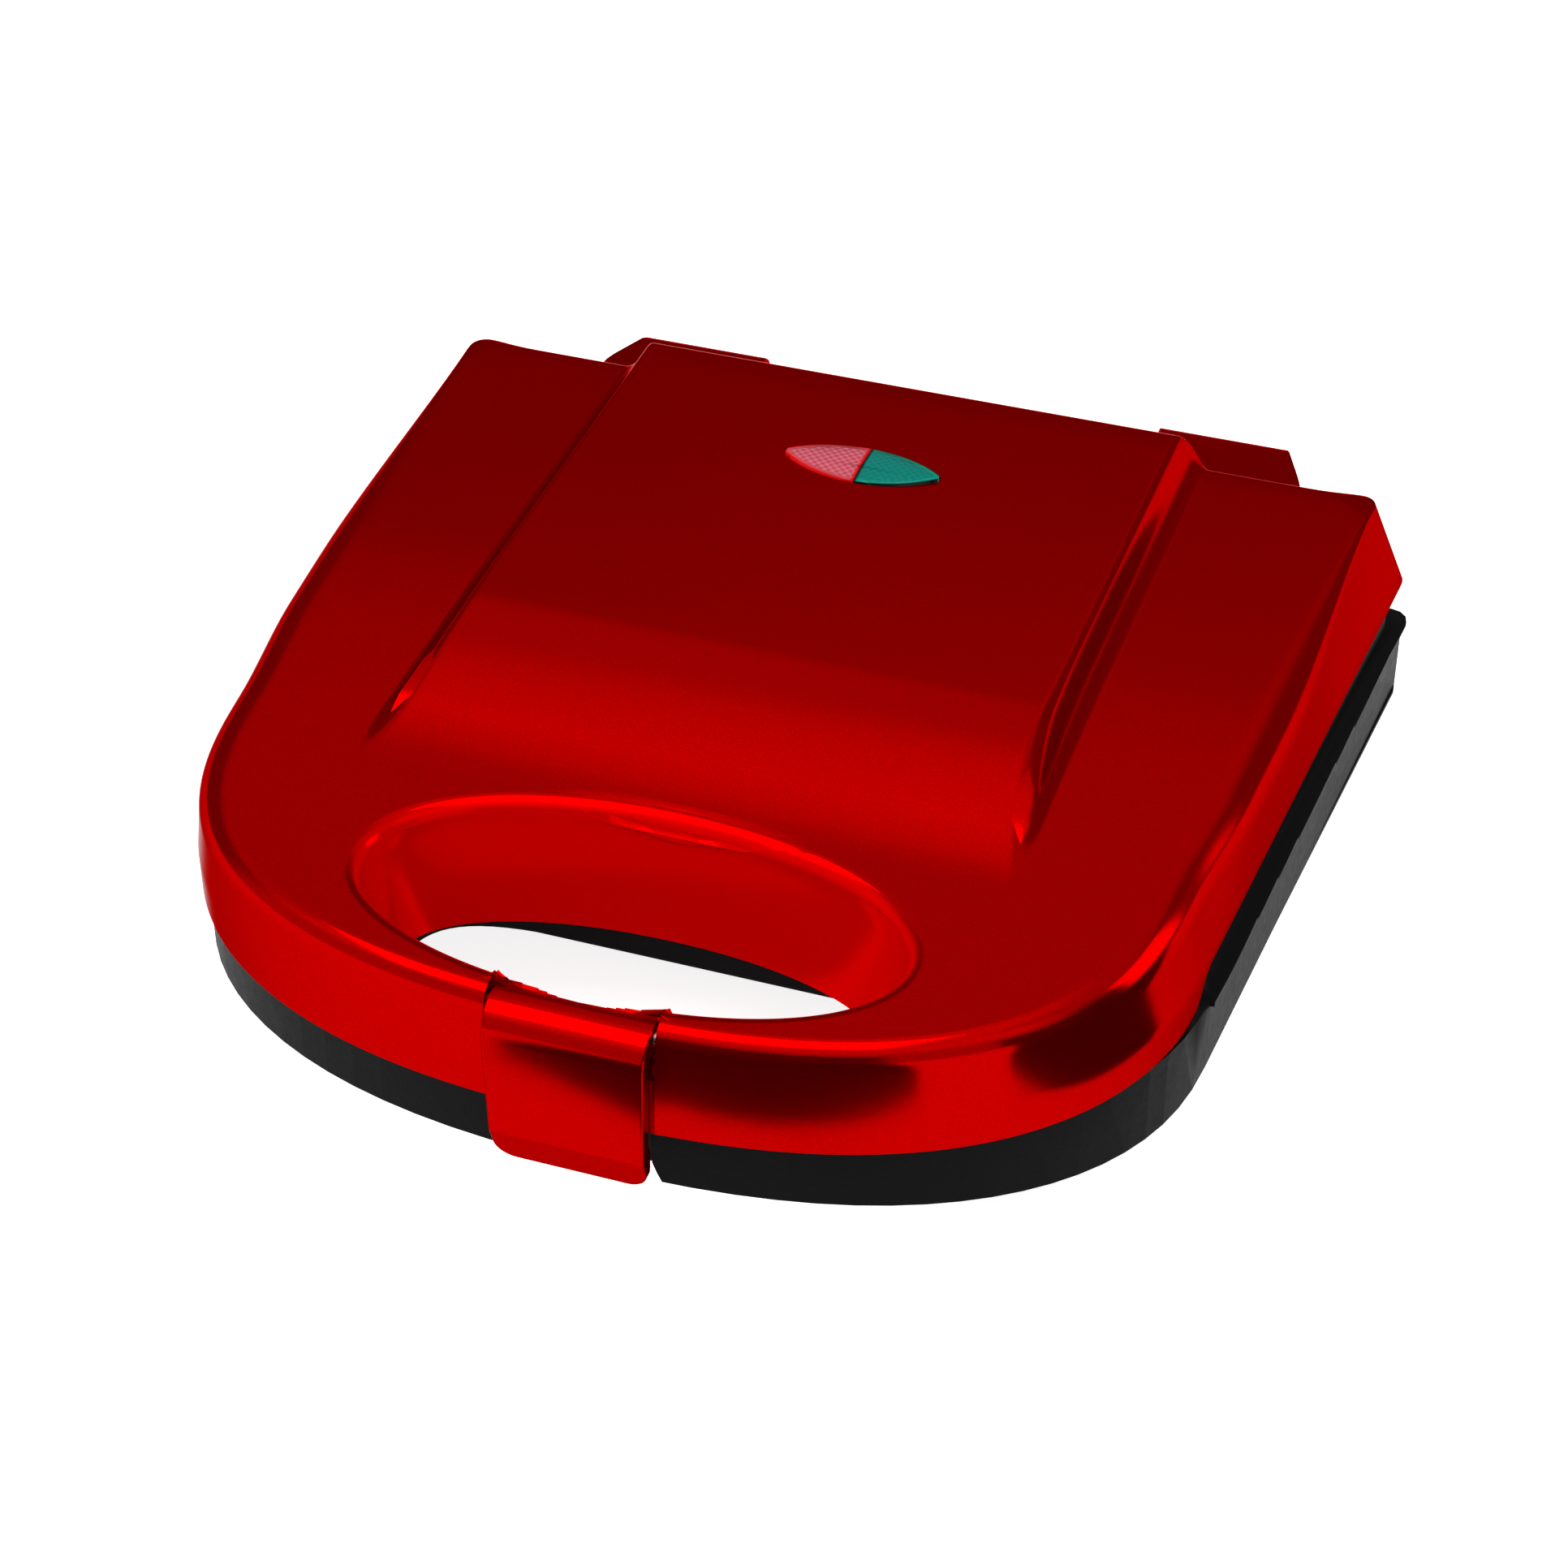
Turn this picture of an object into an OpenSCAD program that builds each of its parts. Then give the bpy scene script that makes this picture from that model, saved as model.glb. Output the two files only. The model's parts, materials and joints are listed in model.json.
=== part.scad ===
// Donut maker: a hinged two-plate electric baker with a finger-hole handle and a swing-over latch clip.
// Millimetres, +Z up, front towards -Y. The origin is under the middle of the overall box, on the table top.

/* [Overall] */
// Width over the flange of the lower housing at the rear
body_w = 226; // [216:1:238]
// Overall depth, from the latch clip to the ends of the hinge ears
total_d = 250.5; // [246:0.5:262]
// Wall of both moulded housings
wall = 2.4; // [1.8:0.1:3]
// Facets along each round stretch of the housings
round_steps = 20; // [12:2:24]

/* [Plates] */
// Radius of one donut mould
donut_r = 26.5; // [24:0.5:28]
// Radius of the centre post of one donut mould
post_r = 7.5; // [5:0.5:9]
// Depth of one half mould
mould_depth = 12; // [11:0.5:13]
// Distance between neighbouring moulds across the width
donut_pitch = 62; // [59:0.5:64]
// Thickness of the cast plates
plate_t = 2.2; // [1.8:0.1:3]
// Flat of the plates beyond the moulds, front and rear
plate_margin = 6.9; // [5:0.1:9]

/* [Lower housing] */
// Height of the table face of the feet below the flat underside
foot_h = 5; // [4:0.5:7]
// Height of the visible bottom edge of the side wall
base_edge_z = 15; // [13:0.5:17]
// Top of the outer side wall
base_wall_z = 31.7; // [29:0.1:32]
// Inward narrowing of each side wall from rear to front curve
base_taper = 10.1; // [6:0.1:14]
// Projection of the flange along the top of the outer wall
flange_out = 0.8; // [0.4:0.1:1.5]
// Inward step from the outer wall to the raised rim
rim_step = 3; // [2:0.1:4]
// Inward run of the sloping underside
pan_inset = 12; // [9:0.5:15]

/* [Parting] */
// Level of the lid lip along the sides and the rear
lip_z = 40.5; // [39.5:0.5:42]
// Level of the lid lip along the handle
handle_lip_z = 33.5; // [33:0.5:35]
// Gap between the lid and the lower housing
parting_gap = 0.8; // [0.4:0.1:1.2]

/* [Upper housing] */
// Height of the side surfaces of the lid at the rear
side_z = 61.5; // [60:0.5:64]
// Height of the handle crest
crest_z = 57.9; // [57:0.1:60]
// Height of the raised centre panel
panel_z = 69.6; // [69:0.2:72]
// Half width of the raised panel along its top edge
panel_half_w = 60; // [54:1:64]
// Sideways run of the panel's sloping edge
panel_slope = 4.5; // [3:0.5:7]
// Radius of the shoulder along the middle of each side
shoulder_r = 8; // [5:0.5:9]
// Radius of the shoulder where it reaches the rear
shoulder_rear_r = 1.2; // [0.8:0.1:3]

/* [Handle] */
// Half length of the finger hole along its upper rim
hole_a = 53; // [48:1:56]
// Half width of the finger hole along its upper rim
hole_b = 24.8; // [22:0.2:26]
// Radius of the finger hole's rolled upper rim
hole_rim_r = 3.4; // [2.5:0.1:3.6]
// Flat of the handle bar between the rolled rim and the front
bar_w = 3.6; // [3:0.1:5]

/* [Hinge] */
// Projection of the hinge ears behind the rear wall
ear_l = 38; // [34:1:42]
// Radius of the hinge pins
pin_r = 2.5; // [2:0.1:3]
// Radial running clearance of pins that turn
pin_clear = 0.06; // [0.03:0.01:0.1]
// Height of the hinge axis
hinge_z = 34.5; // [33:0.5:36]

/* [Latch] */
// Width of the latch clip
latch_w = 32; // [26:1:38]
// Projection of the latch clip's face in front of the lid lip
latch_proud = 3.7; // [3.4:0.1:5]

/* [Hidden] */

$fn = 64;
eps = 0.01;

// ---- shared positions
seat_gap = 0.05;
plate_gap = 0.3;
edge_gap = 0.5;
rear_y = total_d / 2 - ear_l;
lid_front_y = -total_d / 2 + latch_proud;
lid_overhang = 6.6;
base_front_y = lid_front_y + lid_overhang;
hole_y = lid_front_y + bar_w + hole_rim_r + hole_b;
base_hole_y = hole_y + 3;
base_hole_a = hole_a + 4;
base_hole_rear = hole_b + 7.2;
base_hole_front = hole_b - 3.8;
pan_front_y = base_hole_y + base_hole_rear;
curve_y = pan_front_y + 3.75;
base_half_w = body_w / 2 - flange_out;
lid_half_w = base_half_w - 1.5;
lid_taper = base_taper - 0.6;
corner_r = 2;
base_corner_r = 4;
top_corner_r = 11;
tray_r = 6;
flange_t = 1.1;
front_power = 2.42;
base_power = 2.36;
far = 2 * total_d;

// ---- levels
floor_z = foot_h + wall;
rim_z = lip_z - parting_gap;
deck_z = handle_lip_z - parting_gap;

// ---- lower housing
rim_front_r = 12;
inlet_r = 4;
inlet_x = 0;
inlet_z = base_edge_z + 8;
inlet_boss_l = 6;
clamp_y = rear_y - 33.25;
clamp_z = floor_z + 4;
clamp_l = 18;
clamp_w = 6;

// ---- feet
foot_r = 8;
foot_recess = 0.8;
foot_front = [base_half_w - 36.2, pan_front_y + 24.75];
foot_rear = [base_half_w - 32.2, rear_y - 23.25];
foot_pos = [[-foot_front[0], foot_front[1]], foot_front, [-foot_rear[0], foot_rear[1]], foot_rear];

// ---- plates, heaters and reflectors, measured from the plate faces
split_z = lip_z - 0.5;
plate_rear_y = rear_y - rim_step - wall - edge_gap;
plate_front_y = pan_front_y + wall + edge_gap;
plate_y = (plate_rear_y + plate_front_y) / 2;
plate_d = plate_rear_y - plate_front_y;
plate_ins = rim_step + wall + 3.5;
mould_r = (donut_r - post_r) / 2;
mould_mid = post_r + mould_r;
row_pitch = plate_d - 2 * (donut_r + plate_t + plate_margin);
mould_pos = [for (i = [-1:1]) for (j = [-0.5, 0.5]) [i * donut_pitch, j * row_pitch]];
screw_y = plate_d / 2 - 7.6;
screw_rear_x = base_half_w - 22.2;
screw_front_x = base_half_w - 28.2;
screw_pos = [[screw_rear_x, screw_y], [-screw_rear_x, screw_y], [screw_front_x, -screw_y], [-screw_front_x, -screw_y]];
stud_pos = [[-donut_pitch / 2, 0], [donut_pitch / 2, 0]];
stud_r = 3.5;
screw_r = 1.6;
screw_head_r = 3.2;
pillar_r = 4.2;
heater_r = 2.9;
heater_z = mould_depth + plate_t + heater_r + 0.1;
heater_half_w = panel_half_w - 10;
heater_half_d = row_pitch / 2 + 2;
heater_bend_r = 10;
reflector_z = heater_z + heater_r + 0.2;
reflector_t = 0.8;
reflector_half_w = heater_half_w + 7;
reflector_half_d = heater_half_d + 10;
reflector_lip = 3;

// ---- raised centre panel of the lid
panel_rear_y = rear_y - 1.3;
panel_edge_r = 6;
panel_fall_y = pan_front_y + 34.75;
panel_end_y = hole_y + hole_b + 3;
panel_floor_z = side_z - 11.5;

// ---- indicator window
lens_y = rear_y - 38.5;
lens_half_l = 18;
lens_half_w = 6.9;
lens_gap = 0.25;
lens_split = 0.1;
lens_proud = 0.7;
lens_flange = 1.2;
lens_flange_t = 0.8;
lens_bow_r = 60;
lamp_r = 1.4;
lamp_l = 11;
lamp_x = lens_half_l / 2;
flange_z = panel_z - wall - lens_flange_t;
lamp_z = flange_z - 0.3 - lamp_r;

// ---- hinge
hinge_y = rear_y + ear_l / 2 - 0.25;
ear_end_y = total_d / 2;
ear_in_x = base_half_w - 65.3;
ear_out_x = base_half_w - 29;
ear_tip_x = ear_out_x - 7.2;
ear_top_z = hinge_z + 10.6;
ear_edge_r = 2;
ear_t = 3;
cheek_t = 3.5;
arm_t = 6;
arm_gap = 0.5;
boss_r = 5.8;
arm_in_x = ear_in_x + cheek_t + arm_gap;
arm_out_x = arm_in_x + 16;
ear_rib_x = arm_out_x + arm_t + arm_gap;

// ---- latch
hub_r = 2.9;
latch_pin_r = 1.3;
latch_pin_l = latch_w + 7;
latch_y = lid_front_y + 2.95;
latch_z = crest_z - 3.6;
latch_side_gap = 0.4;
latch_face_y = lid_front_y - latch_proud;
latch_back_y = lid_front_y - 0.45;
latch_low_z = base_edge_z + 5.6;
latch_corner_r = 4.2;
hook_top_z = deck_z - wall - 0.5;
hook_t = 3.2;
hook_tip_y = base_front_y + 3.3;
hook_half_w = latch_w / 2 - 4.3;
notch_half_w = hook_half_w + 0.7;

// ---- housing outline: one closed ring of points, the same count for every ring
rear_n = 5;
corner_n = 3;
side_n = 10;
function mix(a, b, t) = a + (b - a) * t;
function clamp01(t) = min(1, max(0, t));
function smooth(t) = let (u = clamp01(t)) u * u * (3 - 2 * u);
function sgn_pow(v, p) = sign(v) * pow(abs(v), p);

// right half of the outline from the middle of the rear edge to the middle of the front, moved
// in by side_ins(y) along the side, rear_ins at the rear and front_ins at the front
function half_outline(half_w, taper, front_y, power, rc, side_ins, rear_ins, front_ins) =
    let (yr = rear_y - rear_ins, yf = front_y + front_ins,
         side_x = function(y) half_w - side_ins(y) - taper * (rear_y - y) / (rear_y - curve_y), w = side_x(yr - rc))
    concat(
        [for (i = [0:rear_n - 1]) [(w - rc) * i / rear_n, yr]],
        [for (i = [0:corner_n]) let (a = 90 - 90 * i / corner_n) [w - rc + rc * cos(a), yr - rc + rc * sin(a)]],
        [for (i = [1:side_n]) let (y = mix(yr - rc, curve_y, i / side_n)) [side_x(y), y]],
        [for (i = [1:round_steps]) let (a = 90 * i / round_steps, y = curve_y - (curve_y - yf) * pow(sin(a), 2 / power))
            [side_x(y) * pow(max(cos(a), 0), 2 / power), y]]
    );

function ring(half) = concat(half, [for (i = [len(half) - 2:-1:1]) [-half[i][0], half[i][1]]]);

// point of a rounded oval in the direction of an outline point
function oval(p, a, b_rear, b_front, power) =
    let (t = atan2((p[1] - hole_y) / hole_b, p[0] / hole_a), b = p[1] > hole_y ? b_rear : b_front)
    [a * sgn_pow(cos(t), 2 / power), hole_y + b * sgn_pow(sin(t), 2 / power)];

function at_z(pts, z) = [for (p = pts) [p[0], p[1], z]];

// closed tube-like solid through a list of rings, the last joined to the first
module ring_loft(rings) {
    n = len(rings[0]);
    m = len(rings);
    polyhedron(
        points = [for (r = rings) each r],
        faces = [for (k = [0:m - 1]) for (i = [0:n - 1])
            let (a = k * n + i, b = k * n + (i + 1) % n, c = ((k + 1) % m) * n + i, d = ((k + 1) % m) * n + (i + 1) % n)
            each [[a, b, d], [a, d, c]]],
        convexity = 10);
}

// ---- upper housing
shoulder_side = 9;
shoulder_corner = 8;
shoulder_curve = 10.4;
shoulder_rear = 5.6;
shoulder_front = 3.7;
rear_r = 5;
front_r = 3.8;
hole_low_a = hole_a - 5;
hole_low_b = hole_b - 4.6;
handle_blend = 9;
function lid_lip_z(y) = mix(handle_lip_z, lip_z, smooth((y - curve_y + handle_blend) / handle_blend));
function lid_top_z(y) = mix(crest_z, side_z, smooth((y - lid_front_y) / (rear_y - lid_front_y) * 1.6));

// how far along from the middle of the side (0) to the rear (1)
function to_rear(y) = smooth(y / rear_y);
function side_r(y) = y < curve_y ? mix(front_r, shoulder_r, smooth((y - lid_front_y) / (curve_y - lid_front_y)))
    : mix(shoulder_r, shoulder_rear_r, to_rear(y));
function side_centre(y) = y < curve_y ? side_r(y) + (shoulder_curve - shoulder_r) * smooth((y - lid_front_y) / (curve_y - lid_front_y))
    : mix(mix(shoulder_side, shoulder_corner, to_rear(y)), shoulder_curve, smooth((-20 - y) / (-20 - curve_y)));
function side_lean(y) = mix(6, 18, to_rear(y));
function edge_r(p) = mix(side_r(p[1]), rear_r,
    p[1] > rear_y - 8 ? smooth((lid_half_w - 6 - abs(p[0])) / 16) : 0);

function lid_ring(rc, side_ins, rear_ins, front_ins) =
    ring(half_outline(lid_half_w, lid_taper, lid_front_y, front_power, rc, side_ins, rear_ins, front_ins));
function even_ring(ins) = lid_ring(corner_r, function(y) ins, ins, ins);
lid_plan = even_ring(0);

// ring of the shoulder a fraction t of the way from the side wall to the top
function shoulder_ring(off, t) =
    let (a0 = mix(18, 90, t),
         pl = lid_ring(mix(corner_r + 3, top_corner_r, t), function(y) side_centre(y) - max(side_r(y) - off, 0.2) * cos(mix(side_lean(y), 90, t)),
                       shoulder_rear - (rear_r - off) * cos(a0), shoulder_front - (front_r - off) * cos(a0)))
    [for (p = pl) let (a = p[1] > rear_y - 8 ? a0 : mix(side_lean(p[1]), 90, t))
        [p[0], p[1], lid_top_z(p[1]) - off - max(edge_r(p) - off, 0.2) * (1 - sin(a))]];

// outer (off = 0) or inner (off = wall) skin of the lid, from the lip to the foot of the finger hole
function lid_skin(off, arc_n, top_n) =
    let (
        rim_r = max(hole_rim_r - off, 0.4),
        lip = even_ring(off),
        arcs = [for (k = [0:arc_n]) shoulder_ring(off, k / arc_n)],
        rim = [for (p = lid_plan) oval(p, hole_a + hole_rim_r, hole_b + hole_rim_r, hole_b + hole_rim_r, 2.1)],
        shoulder = arcs[arc_n],
        tops = [for (k = [1:top_n]) [for (i = [0:len(rim) - 1])
            let (q = [mix(shoulder[i][0], rim[i][0], k / top_n), mix(shoulder[i][1], rim[i][1], k / top_n)])
            [q[0], q[1], lid_top_z(q[1]) - off]]],
        roll = [for (k = [1:4]) [for (p = lid_plan)
            let (a = 22.5 * k, q = oval(p, hole_a + hole_rim_r - rim_r * sin(a), hole_b + hole_rim_r - rim_r * sin(a),
                                      hole_b + hole_rim_r - rim_r * sin(a), 2.1))
            [q[0], q[1], lid_top_z(q[1]) - hole_rim_r + rim_r * cos(a)]]],
        foot = [for (p = lid_plan) let (q = oval(p, hole_low_a + off, hole_low_b + off, hole_low_b + off, 2.1))
            [q[0], q[1], handle_lip_z]]
    )
    concat([[for (p = lip) [p[0], p[1], lid_lip_z(p[1])]]], [[for (p = lip) [p[0], p[1], lip_z + 0.8]]],
           arcs, tops, roll, [foot]);

module lid_shell() {
    outer = lid_skin(0, 6, 7);
    inner = lid_skin(wall, 3, 4);
    ring_loft(concat(outer, [for (k = [len(inner) - 1:-1:0]) inner[k]]));
}

// ---- plan shapes shared by the pan, the rim, the plates and the reflectors
function fillet(c, r, a0) = [for (k = [0:6]) let (a = a0 + 15 * k) [c[0] + r * cos(a), c[1] + r * sin(a)]];

// four-sided outline with rear and front half widths and rounded corners
function tray_outline(w_rear, w_front, y_rear, y_front, r, r_front) = concat(
    fillet([w_rear - r, y_rear - r], r, 0),
    fillet([-w_rear + r, y_rear - r], r, 90),
    fillet([-w_front + r_front, y_front + r_front], r_front, 180),
    fillet([w_front - r_front, y_front + r_front], r_front, 270));

function base_w_at(y) = base_half_w - base_taper * (rear_y - y) / (rear_y - curve_y);

module tray(ins, y_rear, y_front, z0, z1, r, r_front) translate([0, 0, z0]) linear_extrude(z1 - z0)
    polygon(tray_outline(base_w_at(y_rear) - ins, base_w_at(y_front) - ins, y_rear, y_front, r, r_front));

// profile in the Y-Z plane drawn out along X
module along_x(width) rotate([90, 0, 90]) linear_extrude(width, center = true) children();

// profile in the X-Z plane drawn out along Y
module along_y(y0, y1) translate([0, y1, 0]) rotate([90, 0, 0]) linear_extrude(y1 - y0) children();

module rod(p, r, l) translate(p) rotate([0, 90, 0]) cylinder(r = r, h = l);

module mirror_flat() {
    children();
    mirror([1, 0]) children();
}

module mirror_pair() {
    children();
    mirror([1, 0, 0]) children();
}

// ---- raised centre panel of the lid, grown inwards by off
module panel_form(off) {
    top = panel_z - off;
    yr = panel_rear_y - off;
    r = panel_edge_r - off;
    drop = panel_z - lid_top_z(panel_end_y) + wall / 2;
    slope = panel_slope / (panel_z - side_z);
    hw = panel_half_w - 0.6 * off;
    low_w = hw + slope * (top - panel_floor_z);
    intersection() {
        along_x(4 * panel_half_w)
            polygon(concat(
                off > 0 ? [[panel_end_y, panel_floor_z]]
                    : [for (k = [1:6]) let (y = mix(panel_end_y, yr - wall + 0.4, k / 6)) [y, lid_top_z(y) - wall / 2]],
                off > 0 ? [] : [[yr - wall + 0.4, side_z - 9]],
                [[yr, off > 0 ? panel_floor_z : side_z - 9]],
                [for (k = [0:4]) let (a = 22.5 * k) [yr - r + r * cos(a), top - r + r * sin(a)]],
                [for (k = [0:10]) let (t = k / 10) [mix(panel_fall_y, panel_end_y, t), top - drop * (1 - cos(90 * t))]]
            ));
        along_y(panel_end_y - 10, rear_y)
            polygon([[-low_w, panel_floor_z], [low_w, panel_floor_z], [hw, top], [-hw, top]]);
    }
}

// ---- indicator window: an eye shape made of two arcs, its tips cut short
module eye(grow, z0, z1) {
    hl = lens_half_l + grow;
    hw = lens_half_w + grow;
    r = (hl * hl + hw * hw) / (2 * hw);
    translate([0, lens_y, z0]) intersection() {
        translate([0, hw - r, 0]) cylinder(r = r, h = z1 - z0, $fn = 180);
        translate([0, r - hw, 0]) cylinder(r = r, h = z1 - z0, $fn = 180);
        translate([-hl + 1, -2 * hw, -1]) cube([2 * hl - 2, 4 * hw, z1 - z0 + 2]);
    }
}

module lens(side) intersection() {
    union() {
        intersection() {
            eye(-lens_gap, flange_z + eps, panel_z + lens_proud);
            rod([-2 * lens_half_l, lens_y, panel_z + lens_proud - lens_bow_r], lens_bow_r, 4 * lens_half_l, $fn = 360);
        }
        eye(lens_flange, flange_z, flange_z + lens_flange_t);
    }
    translate([side > 0 ? lens_split : -far - lens_split, lens_y - far / 2, 0]) cube(far);
}
module red_lens() color([0.85, 0.35, 0.42]) lens(-1);
module green_lens() color([0.02, 0.5, 0.45]) lens(1);

module lamp(side) rod([side * lamp_x - lamp_l / 2, lens_y, lamp_z], lamp_r, lamp_l);
module red_lamp() color([0.95, 0.75, 0.6]) lamp(-1);
module green_lamp() color([0.7, 0.95, 0.8]) lamp(1);

// tray under the lenses; its end posts stand against the panel
module lamp_holder() color([0.9, 0.9, 0.88]) {
    w = lens_half_l + lens_flange + 1.5;
    low_z = split_z + plate_gap + reflector_z + reflector_t + 0.3;
    difference() {
        translate([-w, lens_y - 4.5, low_z]) cube([2 * w, 9, flange_z - low_z]);
        for (s = [-1, 1]) translate([s * lamp_x - lamp_l / 2 - 0.1, lens_y - lamp_r - 0.1, lamp_z - lamp_r - 0.02])
            cube([lamp_l + 0.2, 2 * lamp_r + 0.2, 10]);
    }
    mirror_pair() translate([w, lens_y - 4.5, low_z]) cube([3, 9, panel_z - wall - low_z]);
}

// ---- hinge ears of the lid, hollow from below
module ear_form(off) {
    side = off > 0 ? cheek_t : 0;
    r = 4 - off;
    e = off > 0 ? 0.2 : ear_edge_r;
    intersection() {
        along_y(rear_y - 6, ear_end_y + 1)
            polygon(concat([[ear_in_x + side, 0], [ear_out_x - side, 0]],
                [for (k = [0:3]) let (a = 30 * k) [ear_out_x - side - e + e * cos(a), ear_top_z - off - e + e * sin(a)]],
                [for (k = [0:3]) let (a = 90 + 30 * k) [ear_in_x + side + e + e * cos(a), ear_top_z - off - e + e * sin(a)]]));
        translate([0, 0, hinge_z - 12]) linear_extrude(far)
            polygon([[ear_in_x + side, rear_y - 5], [ear_out_x - side, rear_y - 5], [ear_out_x - side, ear_end_y - 17],
                     [ear_tip_x - side, ear_end_y - off], [ear_in_x + side, ear_end_y - off]]);
        along_x(far)
            polygon(concat(
                [[rear_y - 1.2 - off, lip_z + 0.6 - 12 * sign(off)], [rear_y - 1.2 - off, ear_top_z + 4 - off]],
                [for (k = [0:4]) let (a = 80 - 20 * k) [ear_end_y - off - r + r * cos(a), ear_top_z - off - r + r * sin(a)]],
                [[ear_end_y - off, hinge_z - 4], [ear_end_y - off - 4, hinge_z - 9 - 2 * sign(off)],
                 [hinge_y - 6, hinge_z - 9 - 2 * sign(off)], [rear_y + 2.6, hinge_z + 1], [rear_y + 2.6, lip_z + 0.6 - 12 * sign(off)]]
            ));
    }
}

module ears() mirror_pair() {
    difference() {
        ear_form(0);
        intersection() {
            ear_form(ear_t);
            translate([0, rear_y + 0.5, 0]) cube(far);
        }
    }
    intersection() {
        ear_form(0);
        translate([ear_rib_x, rear_y - 1, 0]) cube([wall, far, far]);
    }
}

pin_x0 = ear_in_x + 0.8;
pin_x1 = ear_rib_x + wall;

module hinge_pin() color([0.75, 0.76, 0.78]) rod([pin_x0, hinge_y, hinge_z], pin_r, pin_x1 - pin_x0);
module hinge_pin_right() hinge_pin();
module hinge_pin_left() mirror([1, 0, 0]) hinge_pin();

// arm of the lower housing that holds one end of a hinge pin
module hinge_arm(x) {
    translate([x + arm_t / 2, 0, 0]) along_x(arm_t)
        polygon([[rear_y - 1, hinge_z - 14], [rear_y - 1, base_wall_z], [rear_y + 1, hinge_z],
                 [hinge_y - 1, hinge_z + boss_r - 0.1], [hinge_y, hinge_z - boss_r + 0.1]]);
    rod([x, hinge_y, hinge_z], boss_r, arm_t);
}

// ---- latch
module latch_profile() {
    r = 6.4;
    top = latch_z + hub_r;
    polygon(concat(
        [for (a = [0:15:75]) [latch_y + hub_r * cos(a), latch_z + hub_r * sin(a)]],
        [for (a = [90:-10:0]) [latch_face_y + r - r * cos(a), top - r + r * sin(a)]],
        [[latch_face_y, latch_low_z + 8], [latch_face_y + 2.6, latch_low_z], [latch_back_y + 1, latch_low_z],
         [latch_back_y + 1, hook_top_z - hook_t], [hook_tip_y - 0.8, hook_top_z - hook_t], [hook_tip_y, hook_top_z - 1.4],
         [hook_tip_y, hook_top_z], [latch_back_y, hook_top_z], [latch_back_y, latch_z - hub_r - 0.6],
         [latch_y, latch_z - hub_r]]
    ));
}

module latch_clip() color([0.72, 0.02, 0.03]) difference() {
    union() {
        intersection() {
            along_x(latch_w) latch_profile();
            along_y(latch_face_y - 1, latch_face_y + far)
                polygon(concat([[latch_w / 2, far]], [[-latch_w / 2, far]],
                    fillet([-latch_w / 2 + 1 + latch_corner_r, latch_low_z + latch_corner_r], latch_corner_r, 180),
                    fillet([latch_w / 2 - 1 - latch_corner_r, latch_low_z + latch_corner_r], latch_corner_r, 270)));
        }
        rod([-latch_w / 2, latch_y, latch_z], hub_r, latch_w);
    }
    // the hook is narrower than the clip's face
    mirror_pair() translate([hook_half_w, latch_back_y + 1, latch_low_z - 1]) cube([20, 20, hook_top_z - latch_low_z + 1.5]);
    rod([-latch_w, latch_y, latch_z], latch_pin_r + pin_clear, 2 * latch_w);
}

module latch_pin() color([0.75, 0.76, 0.78]) rod([-latch_pin_l / 2, latch_y, latch_z], latch_pin_r, latch_pin_l);

// solid part of the handle that carries the latch pin
module latch_block() along_x(latch_w + 12)
    polygon([[lid_front_y + 1.4, handle_lip_z + 0.4], [lid_front_y + 1.6, latch_z - 3], [latch_y - 1.2, latch_z + 2],
             [latch_y + 1.4, latch_z + 2], [latch_y + 3.2, latch_z - 3], [latch_y + 8, handle_lip_z + 0.4]]);

module latch_slot() {
    w = latch_w + 2 * latch_side_gap;
    reach = hub_r + 0.2;
    translate([-w / 2, lid_front_y - 6, latch_z - hub_r - 1]) cube([w, 6 + latch_y - lid_front_y, 30]);
    translate([-w / 2, latch_y - eps, latch_z]) cube([w, reach, 30]);
    rod([-w / 2, latch_y, latch_z], reach, w);
}

// ---- one half plate with its face at z = 0 and its moulds sinking to -Z
module mould(g) {
    s = mould_depth - mould_r;
    rotate_extrude($fn = 96) {
        translate([mould_mid, -s]) intersection() {
            circle(r = mould_r + g, $fn = 48);
            translate([-2 * mould_r, -2 * mould_r]) square([4 * mould_r, 2 * mould_r]);
        }
        translate([mould_mid - mould_r - g, -s]) square([2 * (mould_r + g), g > 0 ? s : s + 1]);
    }
}

module half_plate() difference() {
    union() {
        translate([0, 0, -plate_t]) linear_extrude(plate_t)
            polygon(tray_outline(base_w_at(plate_rear_y) - plate_ins, base_w_at(plate_front_y) - plate_ins,
                                 plate_rear_y - plate_y, plate_front_y - plate_y, 6, rim_front_r));
        for (p = mould_pos) translate([p[0], p[1], 0]) mould(plate_t);
        for (p = stud_pos) translate([p[0], p[1], -reflector_z]) cylinder(r = stud_r, h = reflector_z - plate_t / 2);
    }
    for (p = mould_pos) translate([p[0], p[1], 0]) mould(0);
    for (p = screw_pos) translate([p[0], p[1], 0]) {
        translate([0, 0, -2 * plate_t]) cylinder(r = screw_r + 0.3, h = 3 * plate_t);
        translate([0, 0, -1.2]) cylinder(r = screw_head_r + 0.3, h = 3);
    }
    for (p = stud_pos) translate([p[0], p[1], -reflector_z - 1]) cylinder(r = screw_r, h = 9);
}

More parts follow.
